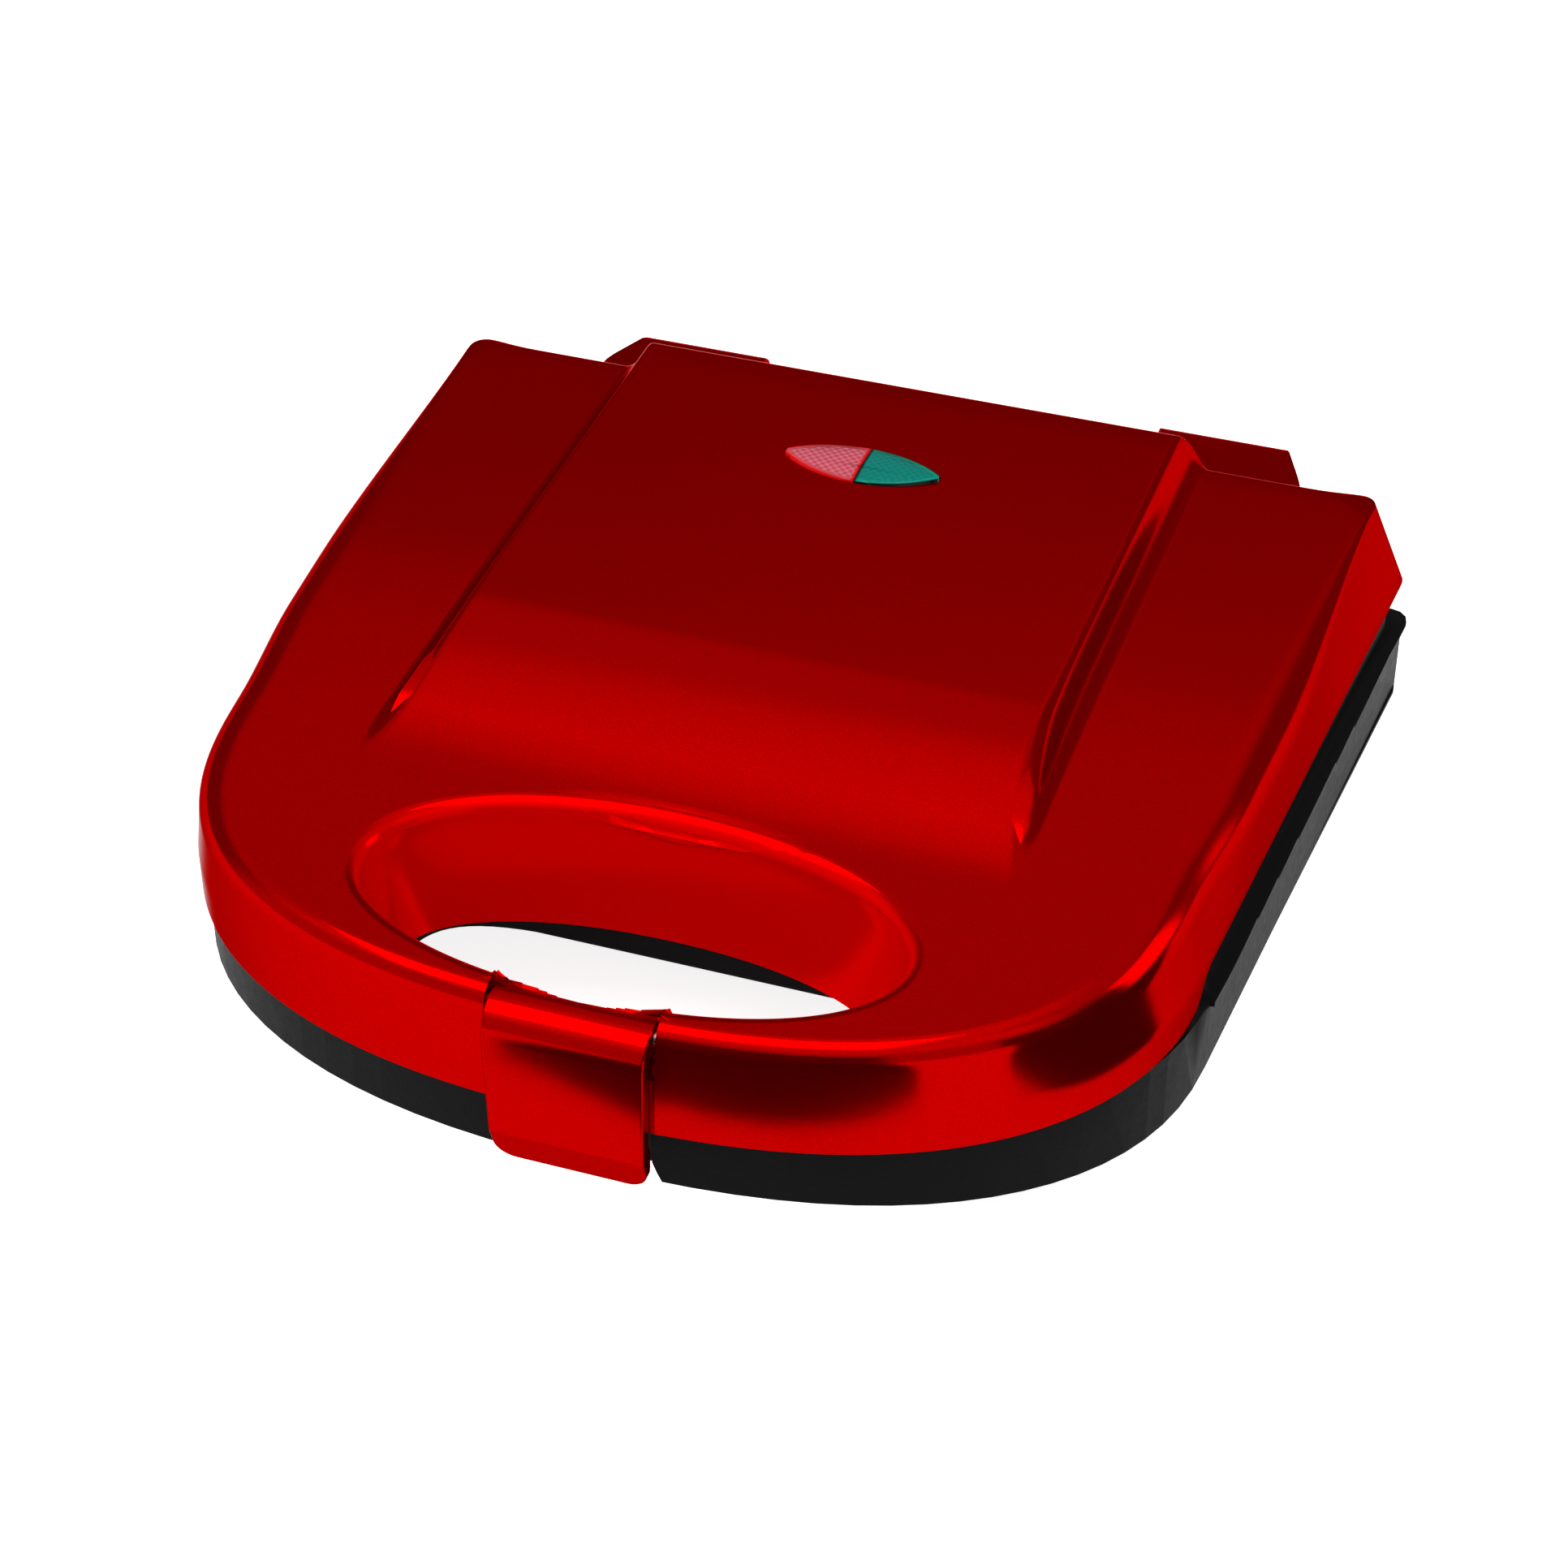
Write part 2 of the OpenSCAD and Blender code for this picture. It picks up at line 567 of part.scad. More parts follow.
// tubular heater: a loop open at the rear, with terminal pins at its two ends
module half_heater() {
    w = heater_half_w;
    d = heater_half_d;
    r = heater_bend_r;
    translate([0, 0, -heater_z]) {
        rod([-w + r, -d, 0], heater_r, 2 * (w - r));
        mirror_pair() {
            translate([w - r, -d + r, 0]) rotate([0, 0, -90])
                rotate_extrude(angle = 90) translate([r, 0]) circle(r = heater_r);
            translate([w, -d + r, 0]) rotate([-90, 0, 0]) cylinder(r = heater_r, h = 2 * (d - r));
            translate([w - r, d - r, 0]) rotate_extrude(angle = 90) translate([r, 0]) circle(r = heater_r);
            rod([14, d, 0], heater_r, w - r - 14);
            rod([8, d, 0], 1.2, 6.5);
        }
    }
}

// metal tray behind the heater, its rim turned towards the plate
module half_reflector() {
    w = reflector_half_w;
    d = reflector_half_d;
    difference() {
        translate([0, 0, -reflector_z - reflector_t]) linear_extrude(reflector_t + reflector_lip)
            polygon(tray_outline(w, w, d, -d, 6, 6));
        translate([0, 0, -reflector_z]) linear_extrude(10)
            polygon(tray_outline(w - reflector_t, w - reflector_t, d - reflector_t, -d + reflector_t, 5.2, 5.2));
        for (p = stud_pos) translate([p[0], p[1], -reflector_z - 5]) cylinder(r = screw_r + 0.3, h = 10);
    }
}

module half_plate_screws() for (p = screw_pos) translate([p[0], p[1], 0]) {
    translate([0, 0, -1.2]) cylinder(r = screw_head_r, h = 1.1);
    translate([0, 0, -12]) cylinder(r = screw_r, h = 11);
}

module half_reflector_screws() for (p = stud_pos) translate([p[0], p[1], -reflector_z - reflector_t]) {
    translate([0, 0, -1.4]) cylinder(r = 3, h = 1.4);
    translate([0, 0, -eps]) cylinder(r = screw_r, h = 7);
}

module in_base() translate([0, plate_y, split_z - plate_gap]) children();
module in_lid() translate([0, plate_y, split_z + plate_gap]) mirror([0, 0, 1]) children();

module lower_plate() color([0.13, 0.13, 0.14]) in_base() half_plate();
module upper_plate() color([0.13, 0.13, 0.14]) in_lid() half_plate();
module lower_heater() color([0.55, 0.55, 0.56]) in_base() half_heater();
module upper_heater() color([0.55, 0.55, 0.56]) in_lid() half_heater();
module lower_reflector() color([0.8, 0.81, 0.82]) in_base() half_reflector();
module upper_reflector() color([0.8, 0.81, 0.82]) in_lid() half_reflector();
module lower_plate_screws() color([0.7, 0.7, 0.72]) in_base() half_plate_screws();
module upper_plate_screws() color([0.7, 0.7, 0.72]) in_lid() half_plate_screws();
module lower_reflector_screws() color([0.7, 0.7, 0.72]) in_base() half_reflector_screws();
module upper_reflector_screws() color([0.7, 0.7, 0.72]) in_lid() half_reflector_screws();

// floor that closes the underside of the lid's handle a little above its lip, stepped up in front of the plate
floor_back_y = pan_front_y - 2.9;
floor_in = 0.6;
module handle_floor() {
    half_w = lid_half_w - lid_taper - 1.2;
    z0 = handle_lip_z + floor_in;
    translate([0, 0, z0]) linear_extrude(wall) difference() {
        polygon(even_ring(wall / 2));
        polygon([for (p = lid_plan) oval(p, hole_low_a + wall / 2, hole_low_b + wall / 2, hole_low_b + wall / 2, 2.1)]);
        translate([-far, floor_back_y]) square([2 * far, 2 * far]);
    }
    translate([-half_w, floor_back_y - wall, z0]) cube([2 * half_w, wall, lip_z + wall - z0]);
    translate([-half_w, floor_back_y - wall, lip_z])
        cube([2 * half_w, plate_front_y - plate_gap - floor_back_y + wall, wall]);
}

// ---- upper housing
module upper_housing() color([0.72, 0.02, 0.03]) difference() {
    union() {
        difference() {
            union() {
                lid_shell();
                panel_form(0);
                ears();
                latch_block();
                handle_floor();
            }
            panel_form(wall);
            latch_slot();
            eye(0, panel_z - 2 * wall, panel_z + 10);
        }
        for (p = screw_pos) let (z0 = split_z + plate_gap + plate_t + seat_gap)
            translate([p[0], plate_y + p[1], z0]) cylinder(r = pillar_r, h = lid_top_z(plate_y + p[1]) - wall / 2 - z0);
    }
    for (p = screw_pos) translate([p[0], plate_y + p[1], split_z]) cylinder(r = screw_r, h = 14);
    mirror_pair() rod([pin_x0 - 0.2, hinge_y, hinge_z], pin_r + pin_clear, pin_x1 - pin_x0 + 0.4);
    rod([-latch_pin_l / 2, latch_y, latch_z], latch_pin_r, latch_pin_l);
}

// ---- lower housing
function base_ring(ins) =
    ring(half_outline(base_half_w, base_taper, base_front_y, base_power, base_corner_r, function(y) ins, ins, ins));
base_plan = base_ring(0);
base_inner = base_ring(wall);

function base_hole(grow) = [for (k = [0:71])
    let (t = 5 * k, rear = sin(t) > 0, n = rear ? 5 : 2.2, b = (rear ? base_hole_rear : base_hole_front) + grow)
    [(base_hole_a + grow) * sgn_pow(cos(t), 2 / n), base_hole_y + b * sgn_pow(sin(t), 2 / n)]];

module front_of(y) translate([-far, y - far, -far]) cube([2 * far, far, 2 * far]);

module pan(off) hull() {
    tray(off, rear_y - off, pan_front_y + off, base_edge_z - 0.5, base_edge_z + 0.5, tray_r - off / 2, tray_r - off / 2);
    tray(pan_inset + 0.6 * off, rear_y - pan_inset - 0.6 * off, pan_front_y + pan_inset + 0.6 * off,
        foot_h + off, foot_h + off + 1, tray_r, tray_r);
}

module rim(off, z1) tray(rim_step + off, rear_y - rim_step - off, pan_front_y + off, base_wall_z - wall - off / 9, z1,
    tray_r - off / 2, rim_front_r - off);

module lower_housing() color([0.12, 0.12, 0.13]) difference() {
    union() {
        difference() {
            union() {
                translate([0, 0, base_edge_z]) linear_extrude(base_wall_z - base_edge_z) polygon(base_plan);
                intersection() {
                    translate([0, 0, base_wall_z - 1]) linear_extrude(deck_z - base_wall_z + 1) polygon(base_plan);
                    front_of(curve_y - 1);
                }
                // flange along the top of the side and rear walls
                difference() {
                    translate([0, 0, base_wall_z - flange_t]) linear_extrude(flange_t) polygon(base_ring(-flange_out));
                    front_of(curve_y - 0.5);
                }
                rim(0, rim_z);
                pan(0);
            }
            // room for the plate, the heater and the wiring
            rim(wall, rim_z + 1);
            tray(wall, rear_y - wall, pan_front_y + wall, base_edge_z - eps, base_wall_z - wall, tray_r - 1, tray_r - 1);
            pan(wall);
            // channel of the handle, open below
            translate([0, 0, base_edge_z - 1]) linear_extrude(deck_z - wall - base_edge_z + 1) difference() {
                polygon(base_inner);
                polygon(base_hole(wall));
                translate([-far, pan_front_y]) square([2 * far, far]);
            }
            translate([0, 0, base_edge_z - 1]) linear_extrude(40) polygon(base_hole(0));
            // notch for the latch hook
            along_y(base_front_y - 1, base_front_y + 4) mirror_flat() polygon([[-1, 0], [notch_half_w + 3, 0],
                [notch_half_w + 2.1, base_edge_z], [notch_half_w + 1.2, base_edge_z + 2], [notch_half_w + 0.3, base_edge_z + 4.5],
                [notch_half_w, deck_z - wall], [-1, deck_z - wall]]);
        }
        intersection() {
            for (p = screw_pos) translate([p[0], plate_y + p[1], foot_h])
                cylinder(r = pillar_r, h = split_z - plate_gap - plate_t - seat_gap - foot_h);
            union() {
                pan(wall / 2);
                translate([-far, -far, base_edge_z]) cube([2 * far, 2 * far, far]);
            }
        }
        mirror_pair() {
            hinge_arm(arm_in_x);
            hinge_arm(arm_out_x);
        }
        translate([inlet_x, rear_y - inlet_boss_l, inlet_z]) rotate([-90, 0, 0]) cylinder(r = inlet_r + 2.5, h = inlet_boss_l);
        translate([-clamp_l / 2, clamp_y, floor_z - 1]) cube([clamp_l, clamp_w, 5]);
    }
    for (p = screw_pos) translate([p[0], plate_y + p[1], split_z - 14]) cylinder(r = screw_r, h = 14);
    mirror_pair() rod([pin_x0, hinge_y, hinge_z], pin_r, pin_x1 - pin_x0);
    translate([inlet_x, rear_y - inlet_boss_l - 1, inlet_z]) rotate([-90, 0, 0]) cylinder(r = inlet_r, h = inlet_boss_l + 2);
    for (p = foot_pos) translate([p[0], p[1], foot_h - 1]) cylinder(r = foot_r + 0.1, h = 1 + foot_recess);
    for (x = [-6, 6]) translate([x, clamp_y + clamp_w / 2, floor_z]) cylinder(r = 1.3, h = 10);
}

module foot(k) color([0.1, 0.1, 0.1]) translate([foot_pos[k][0], foot_pos[k][1], 0]) {
    cylinder(r1 = foot_r - 1, r2 = foot_r - 0.4, h = foot_h - 1);
    translate([0, 0, foot_h - 1]) cylinder(r = foot_r, h = 1 + foot_recess);
}
module foot_front_left() foot(0);
module foot_front_right() foot(1);
module foot_rear_left() foot(2);
module foot_rear_right() foot(3);

// ---- electrical parts in the base
module terminal_block() color([0.85, 0.84, 0.8]) translate([clamp_l / 2 + 7, clamp_y + 2, floor_z]) difference() {
    cube([26, 12, 7]);
    for (i = [0:2]) translate([5 + 8 * i, 6, 3.5]) {
        cylinder(r = 1.8, h = 5);
        rotate([90, 0, 0]) cylinder(r = 1.4, h = 20, center = true);
    }
}
module cord_clamp() color([0.12, 0.12, 0.13]) difference() {
    translate([-clamp_l / 2, clamp_y, clamp_z]) cube([clamp_l, clamp_w, 3]);
    for (x = [-6, 6]) translate([x, clamp_y + clamp_w / 2, clamp_z - 1]) cylinder(r = 1.4, h = 6);
}
module cord_clamp_screws() color([0.7, 0.7, 0.72]) for (x = [-6, 6]) translate([x, clamp_y + clamp_w / 2, clamp_z - 3]) {
    cylinder(r = 1.3, h = 6.5);
    translate([0, 0, 6]) cylinder(r = 2.4, h = 1.4);
}
reflector_low_z = split_z - plate_gap - reflector_z - reflector_t;
module thermostat() color([0.82, 0.8, 0.74]) translate([0, plate_y, reflector_low_z - 4.5]) {
    cylinder(r = 7, h = 4.5);
    for (s = [-1, 1]) translate([s * 9 - 2, -1.5, 1.5]) cube([4, 3, 0.8]);
}
module thermal_fuse() color([0.8, 0.8, 0.78]) rod([-28, plate_y + 18, reflector_low_z - 1.7], 1.6, 22);

lower_housing();
lower_plate();
lower_heater();
lower_reflector();
lower_plate_screws();
lower_reflector_screws();
thermostat();
thermal_fuse();
terminal_block();
cord_clamp();
cord_clamp_screws();
foot_front_left();
foot_front_right();
foot_rear_left();
foot_rear_right();
hinge_pin_left();
hinge_pin_right();
upper_housing();
upper_plate();
upper_heater();
upper_reflector();
upper_plate_screws();
upper_reflector_screws();
red_lens();
green_lens();
lamp_holder();
red_lamp();
green_lamp();
latch_clip();
latch_pin();
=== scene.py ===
"""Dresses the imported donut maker.

The cover and the latch get red moulded skins, the tub, plates, pins, feet and window smooth faces,
every piece its finish, and the whole a pale studio.
"""
import json
import math

import bpy
from mathutils.bvhtree import BVHTree
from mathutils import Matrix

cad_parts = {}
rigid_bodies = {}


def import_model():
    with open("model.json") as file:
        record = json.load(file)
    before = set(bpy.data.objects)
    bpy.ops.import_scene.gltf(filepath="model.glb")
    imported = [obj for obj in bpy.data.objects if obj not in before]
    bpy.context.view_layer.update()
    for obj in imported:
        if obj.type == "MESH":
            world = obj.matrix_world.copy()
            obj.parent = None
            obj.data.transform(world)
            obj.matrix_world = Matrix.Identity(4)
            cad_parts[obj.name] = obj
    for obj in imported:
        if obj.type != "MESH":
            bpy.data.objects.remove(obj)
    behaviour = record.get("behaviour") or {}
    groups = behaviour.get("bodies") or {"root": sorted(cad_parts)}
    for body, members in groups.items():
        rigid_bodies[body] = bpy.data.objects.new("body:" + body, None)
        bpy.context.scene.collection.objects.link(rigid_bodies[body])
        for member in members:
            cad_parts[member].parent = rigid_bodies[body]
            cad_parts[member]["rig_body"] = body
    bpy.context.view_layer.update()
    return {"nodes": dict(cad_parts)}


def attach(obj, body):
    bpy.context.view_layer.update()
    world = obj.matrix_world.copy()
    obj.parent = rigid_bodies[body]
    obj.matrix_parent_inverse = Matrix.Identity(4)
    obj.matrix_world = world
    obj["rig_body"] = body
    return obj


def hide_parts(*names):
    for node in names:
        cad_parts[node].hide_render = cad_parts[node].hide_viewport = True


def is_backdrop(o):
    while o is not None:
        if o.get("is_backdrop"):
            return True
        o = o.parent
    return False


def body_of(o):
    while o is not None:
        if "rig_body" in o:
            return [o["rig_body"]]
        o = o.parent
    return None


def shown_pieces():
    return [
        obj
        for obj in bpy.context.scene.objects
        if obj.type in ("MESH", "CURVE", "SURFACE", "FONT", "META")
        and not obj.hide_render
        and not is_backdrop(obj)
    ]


bl_info = {
    "name": "Donut Maker Dresser",
    "version": (1, 0, 0),
    "blender": (4, 5, 0),
    "location": "View3D > Sidebar > Donut Maker",
    "description": "Gives the donut maker its moulded surfaces, finishes and studio",
    "category": "Object",
}

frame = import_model()


# ---- shader maths
class Value:
    """A node socket that takes part in Python arithmetic."""

    def __init__(self, graph, socket):
        self.graph, self.socket = graph, socket

    def _math(self, operation, *others):
        return self.graph.node("ShaderNodeMath", {"operation": operation}, dict(enumerate((self, *others))))

    def __add__(self, other):
        return self._math("ADD", other)

    __radd__ = __add__

    def __sub__(self, other):
        return self._math("SUBTRACT", other)

    def __rsub__(self, other):
        return (self * -1) + other

    def __mul__(self, other):
        return self._math("MULTIPLY", other)

    __rmul__ = __mul__

    def __pow__(self, other):
        return self._math("POWER", other)

    def above(self, other):
        return self._math("MAXIMUM", other)

    def below(self, other):
        return self._math("MINIMUM", other)

    def size(self):
        return self._math("ABSOLUTE")

    def sine(self):
        return self._math("SINE")

    def step(self, low, high):
        """0 under low, 1 over high, smooth between."""
        settings = {"interpolation_type": "SMOOTHSTEP"}
        inputs = {"Value": self, "From Min": low, "From Max": high}
        return self.graph.node("ShaderNodeMapRange", settings, inputs)


class Graph:
    """A node tree that is filled one node at a time."""

    def __init__(self, tree):
        self.tree = tree
        tree.nodes.clear()

    def node(self, kind, settings=None, inputs=None, output=0):
        made = self.tree.nodes.new(kind)
        for key, setting in (settings or {}).items():
            setattr(made, key, setting)
        for key, value in (inputs or {}).items():
            socket = made.inputs[key]
            if isinstance(value, Value):
                self.tree.links.new(value.socket, socket)
            elif hasattr(socket.default_value, "__len__") and len(socket.default_value) == 4:
                socket.default_value = (*value[:3], 1)
            else:
                socket.default_value = value
        return None if output is None else Value(self, made.outputs[output])

    def parts(self, vector):
        split = self.node("ShaderNodeSeparateXYZ", inputs={"Vector": vector})
        return [Value(self, socket) for socket in split.socket.node.outputs]

    def blend(self, factor, first, second):
        settings = {"data_type": "RGBA"}
        return self.node("ShaderNodeMix", settings, {"Factor": factor, 6: first, 7: second}, output=2)


def place(graph):
    """Object coordinates, in metres."""
    return graph.node("ShaderNodeTexCoord", output=3)


def noise(graph, size, detail=2.0):
    inputs = {"Vector": place(graph), "Scale": 1 / size, "Detail": detail}
    return graph.node("ShaderNodeTexNoise", inputs=inputs)


def patch(value, low, high, soft):
    """1 between low and high, 0 outside, soft at both ends."""
    return value.step(low - soft, low + soft) * value.step(high + soft, high - soft)


def finish(name, base, rough, bump=None, **constants):
    """A finish whose base, rough and bump are functions of the graph; a constant may be one too."""
    material = bpy.data.materials.new(name)
    material.use_nodes = True
    graph = Graph(material.node_tree)
    inputs = {"Base Color": base(graph), "Roughness": rough(graph)}
    if bump:
        height, depth = bump(graph)
        inputs["Normal"] = graph.node("ShaderNodeBump", inputs={"Height": height, "Distance": depth})
    for key, value in constants.items():
        inputs[key.replace("_", " ")] = value(graph) if callable(value) else value
    shader = graph.node("ShaderNodeBsdfPrincipled", inputs=inputs)
    graph.node("ShaderNodeOutputMaterial", inputs={"Surface": shader}, output=None)
    return material


def dress(obj, material):
    obj.data.materials.clear()
    obj.data.materials.append(material)


# ---- modelling helpers, with lengths in millimetres
MM = 0.001
SEAM_GAP, CAD_GAP = 1e-6, 2e-6  # metres within which corners are merged
QUARTER = math.pi / 2


def mix(low, high, part):
    return low + (high - low) * part


def ease(part):
    part = min(1.0, max(0.0, part))
    return part * part * (3 - 2 * part)


def steps(count):
    return [k / count for k in range(count + 1)]


def sole(obj):
    """Makes obj the only selected and the active object."""
    bpy.ops.object.select_all(action="DESELECT")
    obj.select_set(True)
    bpy.context.view_layer.objects.active = obj


def added(name):
    """The object that the last operator added, named and with its place in its mesh."""
    obj = bpy.context.active_object
    obj.name = obj.data.name = name
    bpy.ops.object.transform_apply(location=True, rotation=True, scale=True)
    return obj


def in_edit(obj, *operators):
    """Runs mesh operators on all of obj in edit mode; each is (operator, its settings)."""
    sole(obj)
    bpy.ops.object.mode_set(mode="EDIT")
    for operator, settings in operators:
        bpy.ops.mesh.select_all(action="SELECT")
        operator(**settings)
    bpy.ops.object.mode_set(mode="OBJECT")
    return obj


def sewn(obj):
    """Merges the doubled corners of obj and points its faces outwards."""
    merge, point_out = bpy.ops.mesh.remove_doubles, bpy.ops.mesh.normals_make_consistent
    return in_edit(obj, (merge, {"threshold": SEAM_GAP}), (point_out, {"inside": False}))


def without(obj, test):
    """Deletes the faces whose middles pass a test."""
    sole(obj)
    bpy.ops.object.mode_set(mode="EDIT")
    bpy.ops.mesh.select_mode(type="FACE")
    bpy.ops.mesh.select_all(action="DESELECT")
    bpy.ops.object.mode_set(mode="OBJECT")
    for polygon in obj.data.polygons:
        polygon.select = test(*(polygon.center / MM))
    bpy.ops.object.mode_set(mode="EDIT")
    bpy.ops.mesh.delete(type="FACE")
    bpy.ops.object.mode_set(mode="OBJECT")


def modified(obj, kind, **settings):
    """Adds a modifier to obj and applies it."""
    sole(obj)
    modifier = obj.modifiers.new(kind.title(), kind)
    for key, value in settings.items():
        setattr(modifier, key, value)
    bpy.ops.object.modifier_apply(modifier=modifier.name)
    return obj


def cut(obj, cutter, operation="DIFFERENCE"):
    modified(obj, "BOOLEAN", operation=operation, object=cutter, solver="EXACT")
    bpy.data.objects.remove(cutter)


def rounded(obj, width, limit=40):
    modified(obj, "BEVEL", width=width * MM, segments=3, limit_method="ANGLE",
             angle_limit=math.radians(limit), use_clamp_overlap=True)


def smooth(obj, angle=30):
    sole(obj)
    bpy.ops.object.shade_smooth_by_angle(angle=math.radians(angle))
    return obj


def skin(name, rings, closed=True):
    """A grid bent through rings of points and sewn along its seam."""
    wide = len(rings[0]) if closed else len(rings[0]) - 1
    bpy.ops.object.select_all(action="DESELECT")
    bpy.ops.mesh.primitive_grid_add(x_subdivisions=wide, y_subdivisions=len(rings) - 1)
    obj = added(name)
    points = [point for ring in rings for point in (ring + ring[:1] if closed else ring)]
    if len(points) != len(obj.data.vertices):
        counts = f"{len(obj.data.vertices)} corners in the grid, {len(points)} in its rings"
        raise RuntimeError(f"{name}: {counts}")
    flat = [value * MM for point in points for value in point]
    obj.data.vertices.foreach_set("co", flat)
    obj.data.update()
    return sewn(obj)


def prism(name, loop, along):
    """A flat loop of points drawn out by a vector."""
    bpy.ops.object.select_all(action="DESELECT")
    bpy.ops.mesh.primitive_circle_add(vertices=len(loop), fill_type="NGON")
    obj = added(name)
    obj.data.vertices.foreach_set("co", [value * MM for point in loop for value in point])
    pull = {"TRANSFORM_OT_translate": {"value": [value * MM for value in along]}}
    point_out = bpy.ops.mesh.normals_make_consistent
    return in_edit(obj, (bpy.ops.mesh.extrude_region_move, pull), (point_out, {"inside": False}))


def rod(name, middle, radius, length):
    """A round rod along X."""
    bpy.ops.object.select_all(action="DESELECT")
    middle = [value * MM for value in middle]
    bpy.ops.mesh.primitive_cylinder_add(vertices=64, radius=radius * MM, depth=length * MM,
                                        location=middle, rotation=(0, QUARTER, 0))
    return added(name)


def casting(name, node, angle=30):
    """A merged copy of a CAD node with smooth shading, which stands for it."""
    source = frame["nodes"][node]
    obj = bpy.data.objects.new(name, source.data.copy())
    bpy.context.scene.collection.objects.link(obj)
    in_edit(obj, (bpy.ops.mesh.remove_doubles, {"threshold": CAD_GAP}))
    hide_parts(node)
    return modified(smooth(obj, angle), "WEIGHTED_NORMAL", weight=100, keep_sharp=True)


def turns(count):
    """The angles of a quarter turn in equal steps."""
    return [t * QUARTER for t in steps(count)]


def between(ring, other, part):
    return [tuple(mix(a, b, part) for a, b in zip(p, q)) for p, q in zip(ring, other)]


# ---- form of the cover and the latch, by the same rules and sizes as the solids
REAR_Y, CURVE_Y, FRONT_Y, HALF_W, TAPER = 87.25, -51.0, -121.55, 110.7, 9.5
SIDE_Z, CREST_Z, LIP_Z, HANDLE_LIP_Z, PANEL_Z = 61.5, 57.9, 40.5, 33.5, 69.6
HOLE_Y, HOLE_A, HOLE_B, ROLL_R = -89.75, 53.0, 24.8, 3.4
PANEL_REAR_Y, PANEL_FALL_Y, PANEL_END_Y, PANEL_W = 85.95, -20.0, -61.95, 60.0
PANEL_LEAN = 4.5 / 8.1
LENS_Y, LENS_L, LENS_W = 48.75, 18.0, 6.9
LATCH_Y, LATCH_Z, LATCH_FACE_Y, LATCH_LOW_Z = -118.6, 54.3, -125.25, 20.6
OVER, SLOT_W = 0.1, 16.4  # how far the skins stand proud of the solid, and half the latch slot
FRONT_POWER, HOLE_POWER = 2.42, 2.1  # of the superellipses that the front and the finger hole follow
CORE_SINK = 0.9
KNUCKLE_R, PIN_ROOM_R = 2.9, 1.36
FACE_ROLL_R, FOOT_CORNER_R = 6.4, 4.2
CLIP_W, FOOT_W, HOOK_W = 16, 15, 11.7  # half widths
DECK_Z, TUB_WALL, TUB_FRONT_Y = 32.7, 2.4, -114.95


def top_z(y):
    return mix(CREST_Z, SIDE_Z, ease((y - FRONT_Y) / (REAR_Y - FRONT_Y) * 1.6))


def lip_z(y):
    return mix(HANDLE_LIP_Z, LIP_Z, ease((y - CURVE_Y + 9) / 9))


def along_front(y):
    return ease((y - FRONT_Y) / (CURVE_Y - FRONT_Y))


def side_radius(y):
    return mix(3.8, 8, along_front(y)) if y < CURVE_Y else mix(8, 1.2, ease(y / REAR_Y))


def side_centre(y):
    if y < CURVE_Y:
        return side_radius(y) + 2.4 * along_front(y)
    return mix(mix(9, 8, ease(y / REAR_Y)), 10.4, ease((-20 - y) / (-20 - CURVE_Y)))


def side_lean(y):
    return mix(6, 18, ease(y / REAR_Y))


def outline(corner, side_in, rear_in, front_in):
    """Ring of plan points, from the middle of the rear edge round by the right side."""
    rear, front = REAR_Y - rear_in, FRONT_Y + front_in

    def side(y):
        return HALF_W - side_in(y) - TAPER * (REAR_Y - y) / (REAR_Y - CURVE_Y)

    wide = side(rear - corner) - corner
    right = [(wide * t, rear) for t in steps(30)[:-1]]
    right += [(wide + corner * math.sin(a), rear - corner + corner * math.cos(a)) for a in turns(10)]
    right += [(side(y), y) for y in (mix(rear - corner, CURVE_Y, t) for t in steps(50)[1:])]
    for t in steps(100)[1:]:
        y = CURVE_Y - (CURVE_Y - front) * math.sin(t * QUARTER) ** (2 / FRONT_POWER)
        right.append((side(y) * max(math.cos(t * QUARTER), 0) ** (2 / FRONT_POWER) if t < 1 else 0.0, y))
    return right + [(-x, y) for x, y in reversed(right[1:-1])]


def shoulder(t):
    """Ring a part t of the way from the side wall to the top, OVER proud of the solid."""
    turn = math.radians(mix(18, 90, t))

    def lean(y):
        return math.radians(mix(side_lean(y), 90, t))

    plan = outline(mix(5, 11, t), lambda y: side_centre(y) - (side_radius(y) + OVER) * math.cos(lean(y)),
                   5.6 - (5 + OVER) * math.cos(turn), 3.7 - (3.8 + OVER) * math.cos(turn))
    ring = []
    for x, y in plan:
        at_rear = y > REAR_Y - 8
        radius = mix(side_radius(y), 5, ease((HALF_W - 6 - abs(x)) / 16) if at_rear else 0)
        ring.append((x, y, top_z(y) + OVER - (radius + OVER) * (1 - math.sin(turn if at_rear else lean(y)))))
    return ring


def oval(ring, grow_a, grow_b, drop=0.0, level=None):
    """The finger hole's ring in the directions of an outline's points."""
    points = []
    for x, y, *_ in ring:
        t = math.atan2((y - HOLE_Y) / HOLE_B, x / HOLE_A)
        u = [math.copysign(abs(v) ** (2 / HOLE_POWER), v) for v in (math.cos(t), math.sin(t))]
        x, y = (HOLE_A + grow_a) * u[0], HOLE_Y + (HOLE_B + grow_b) * u[1]
        points.append((x, y, top_z(y) - drop if level is None else level))
    return points


def slotted(rings):
    """Sets the columns of corners beside the latch slot straight along its sides."""
    lowest = rings[0]
    front = [k for k, point in enumerate(lowest) if point[1] <= 0]
    for side in (-1, 1):
        column = min(front, key=lambda k: abs(lowest[k][0] - side * SLOT_W))
        for ring in rings:
            if ring[column][1] < LATCH_Y + 6:
                ring[column] = (side * SLOT_W, *ring[column][1:])
    return rings


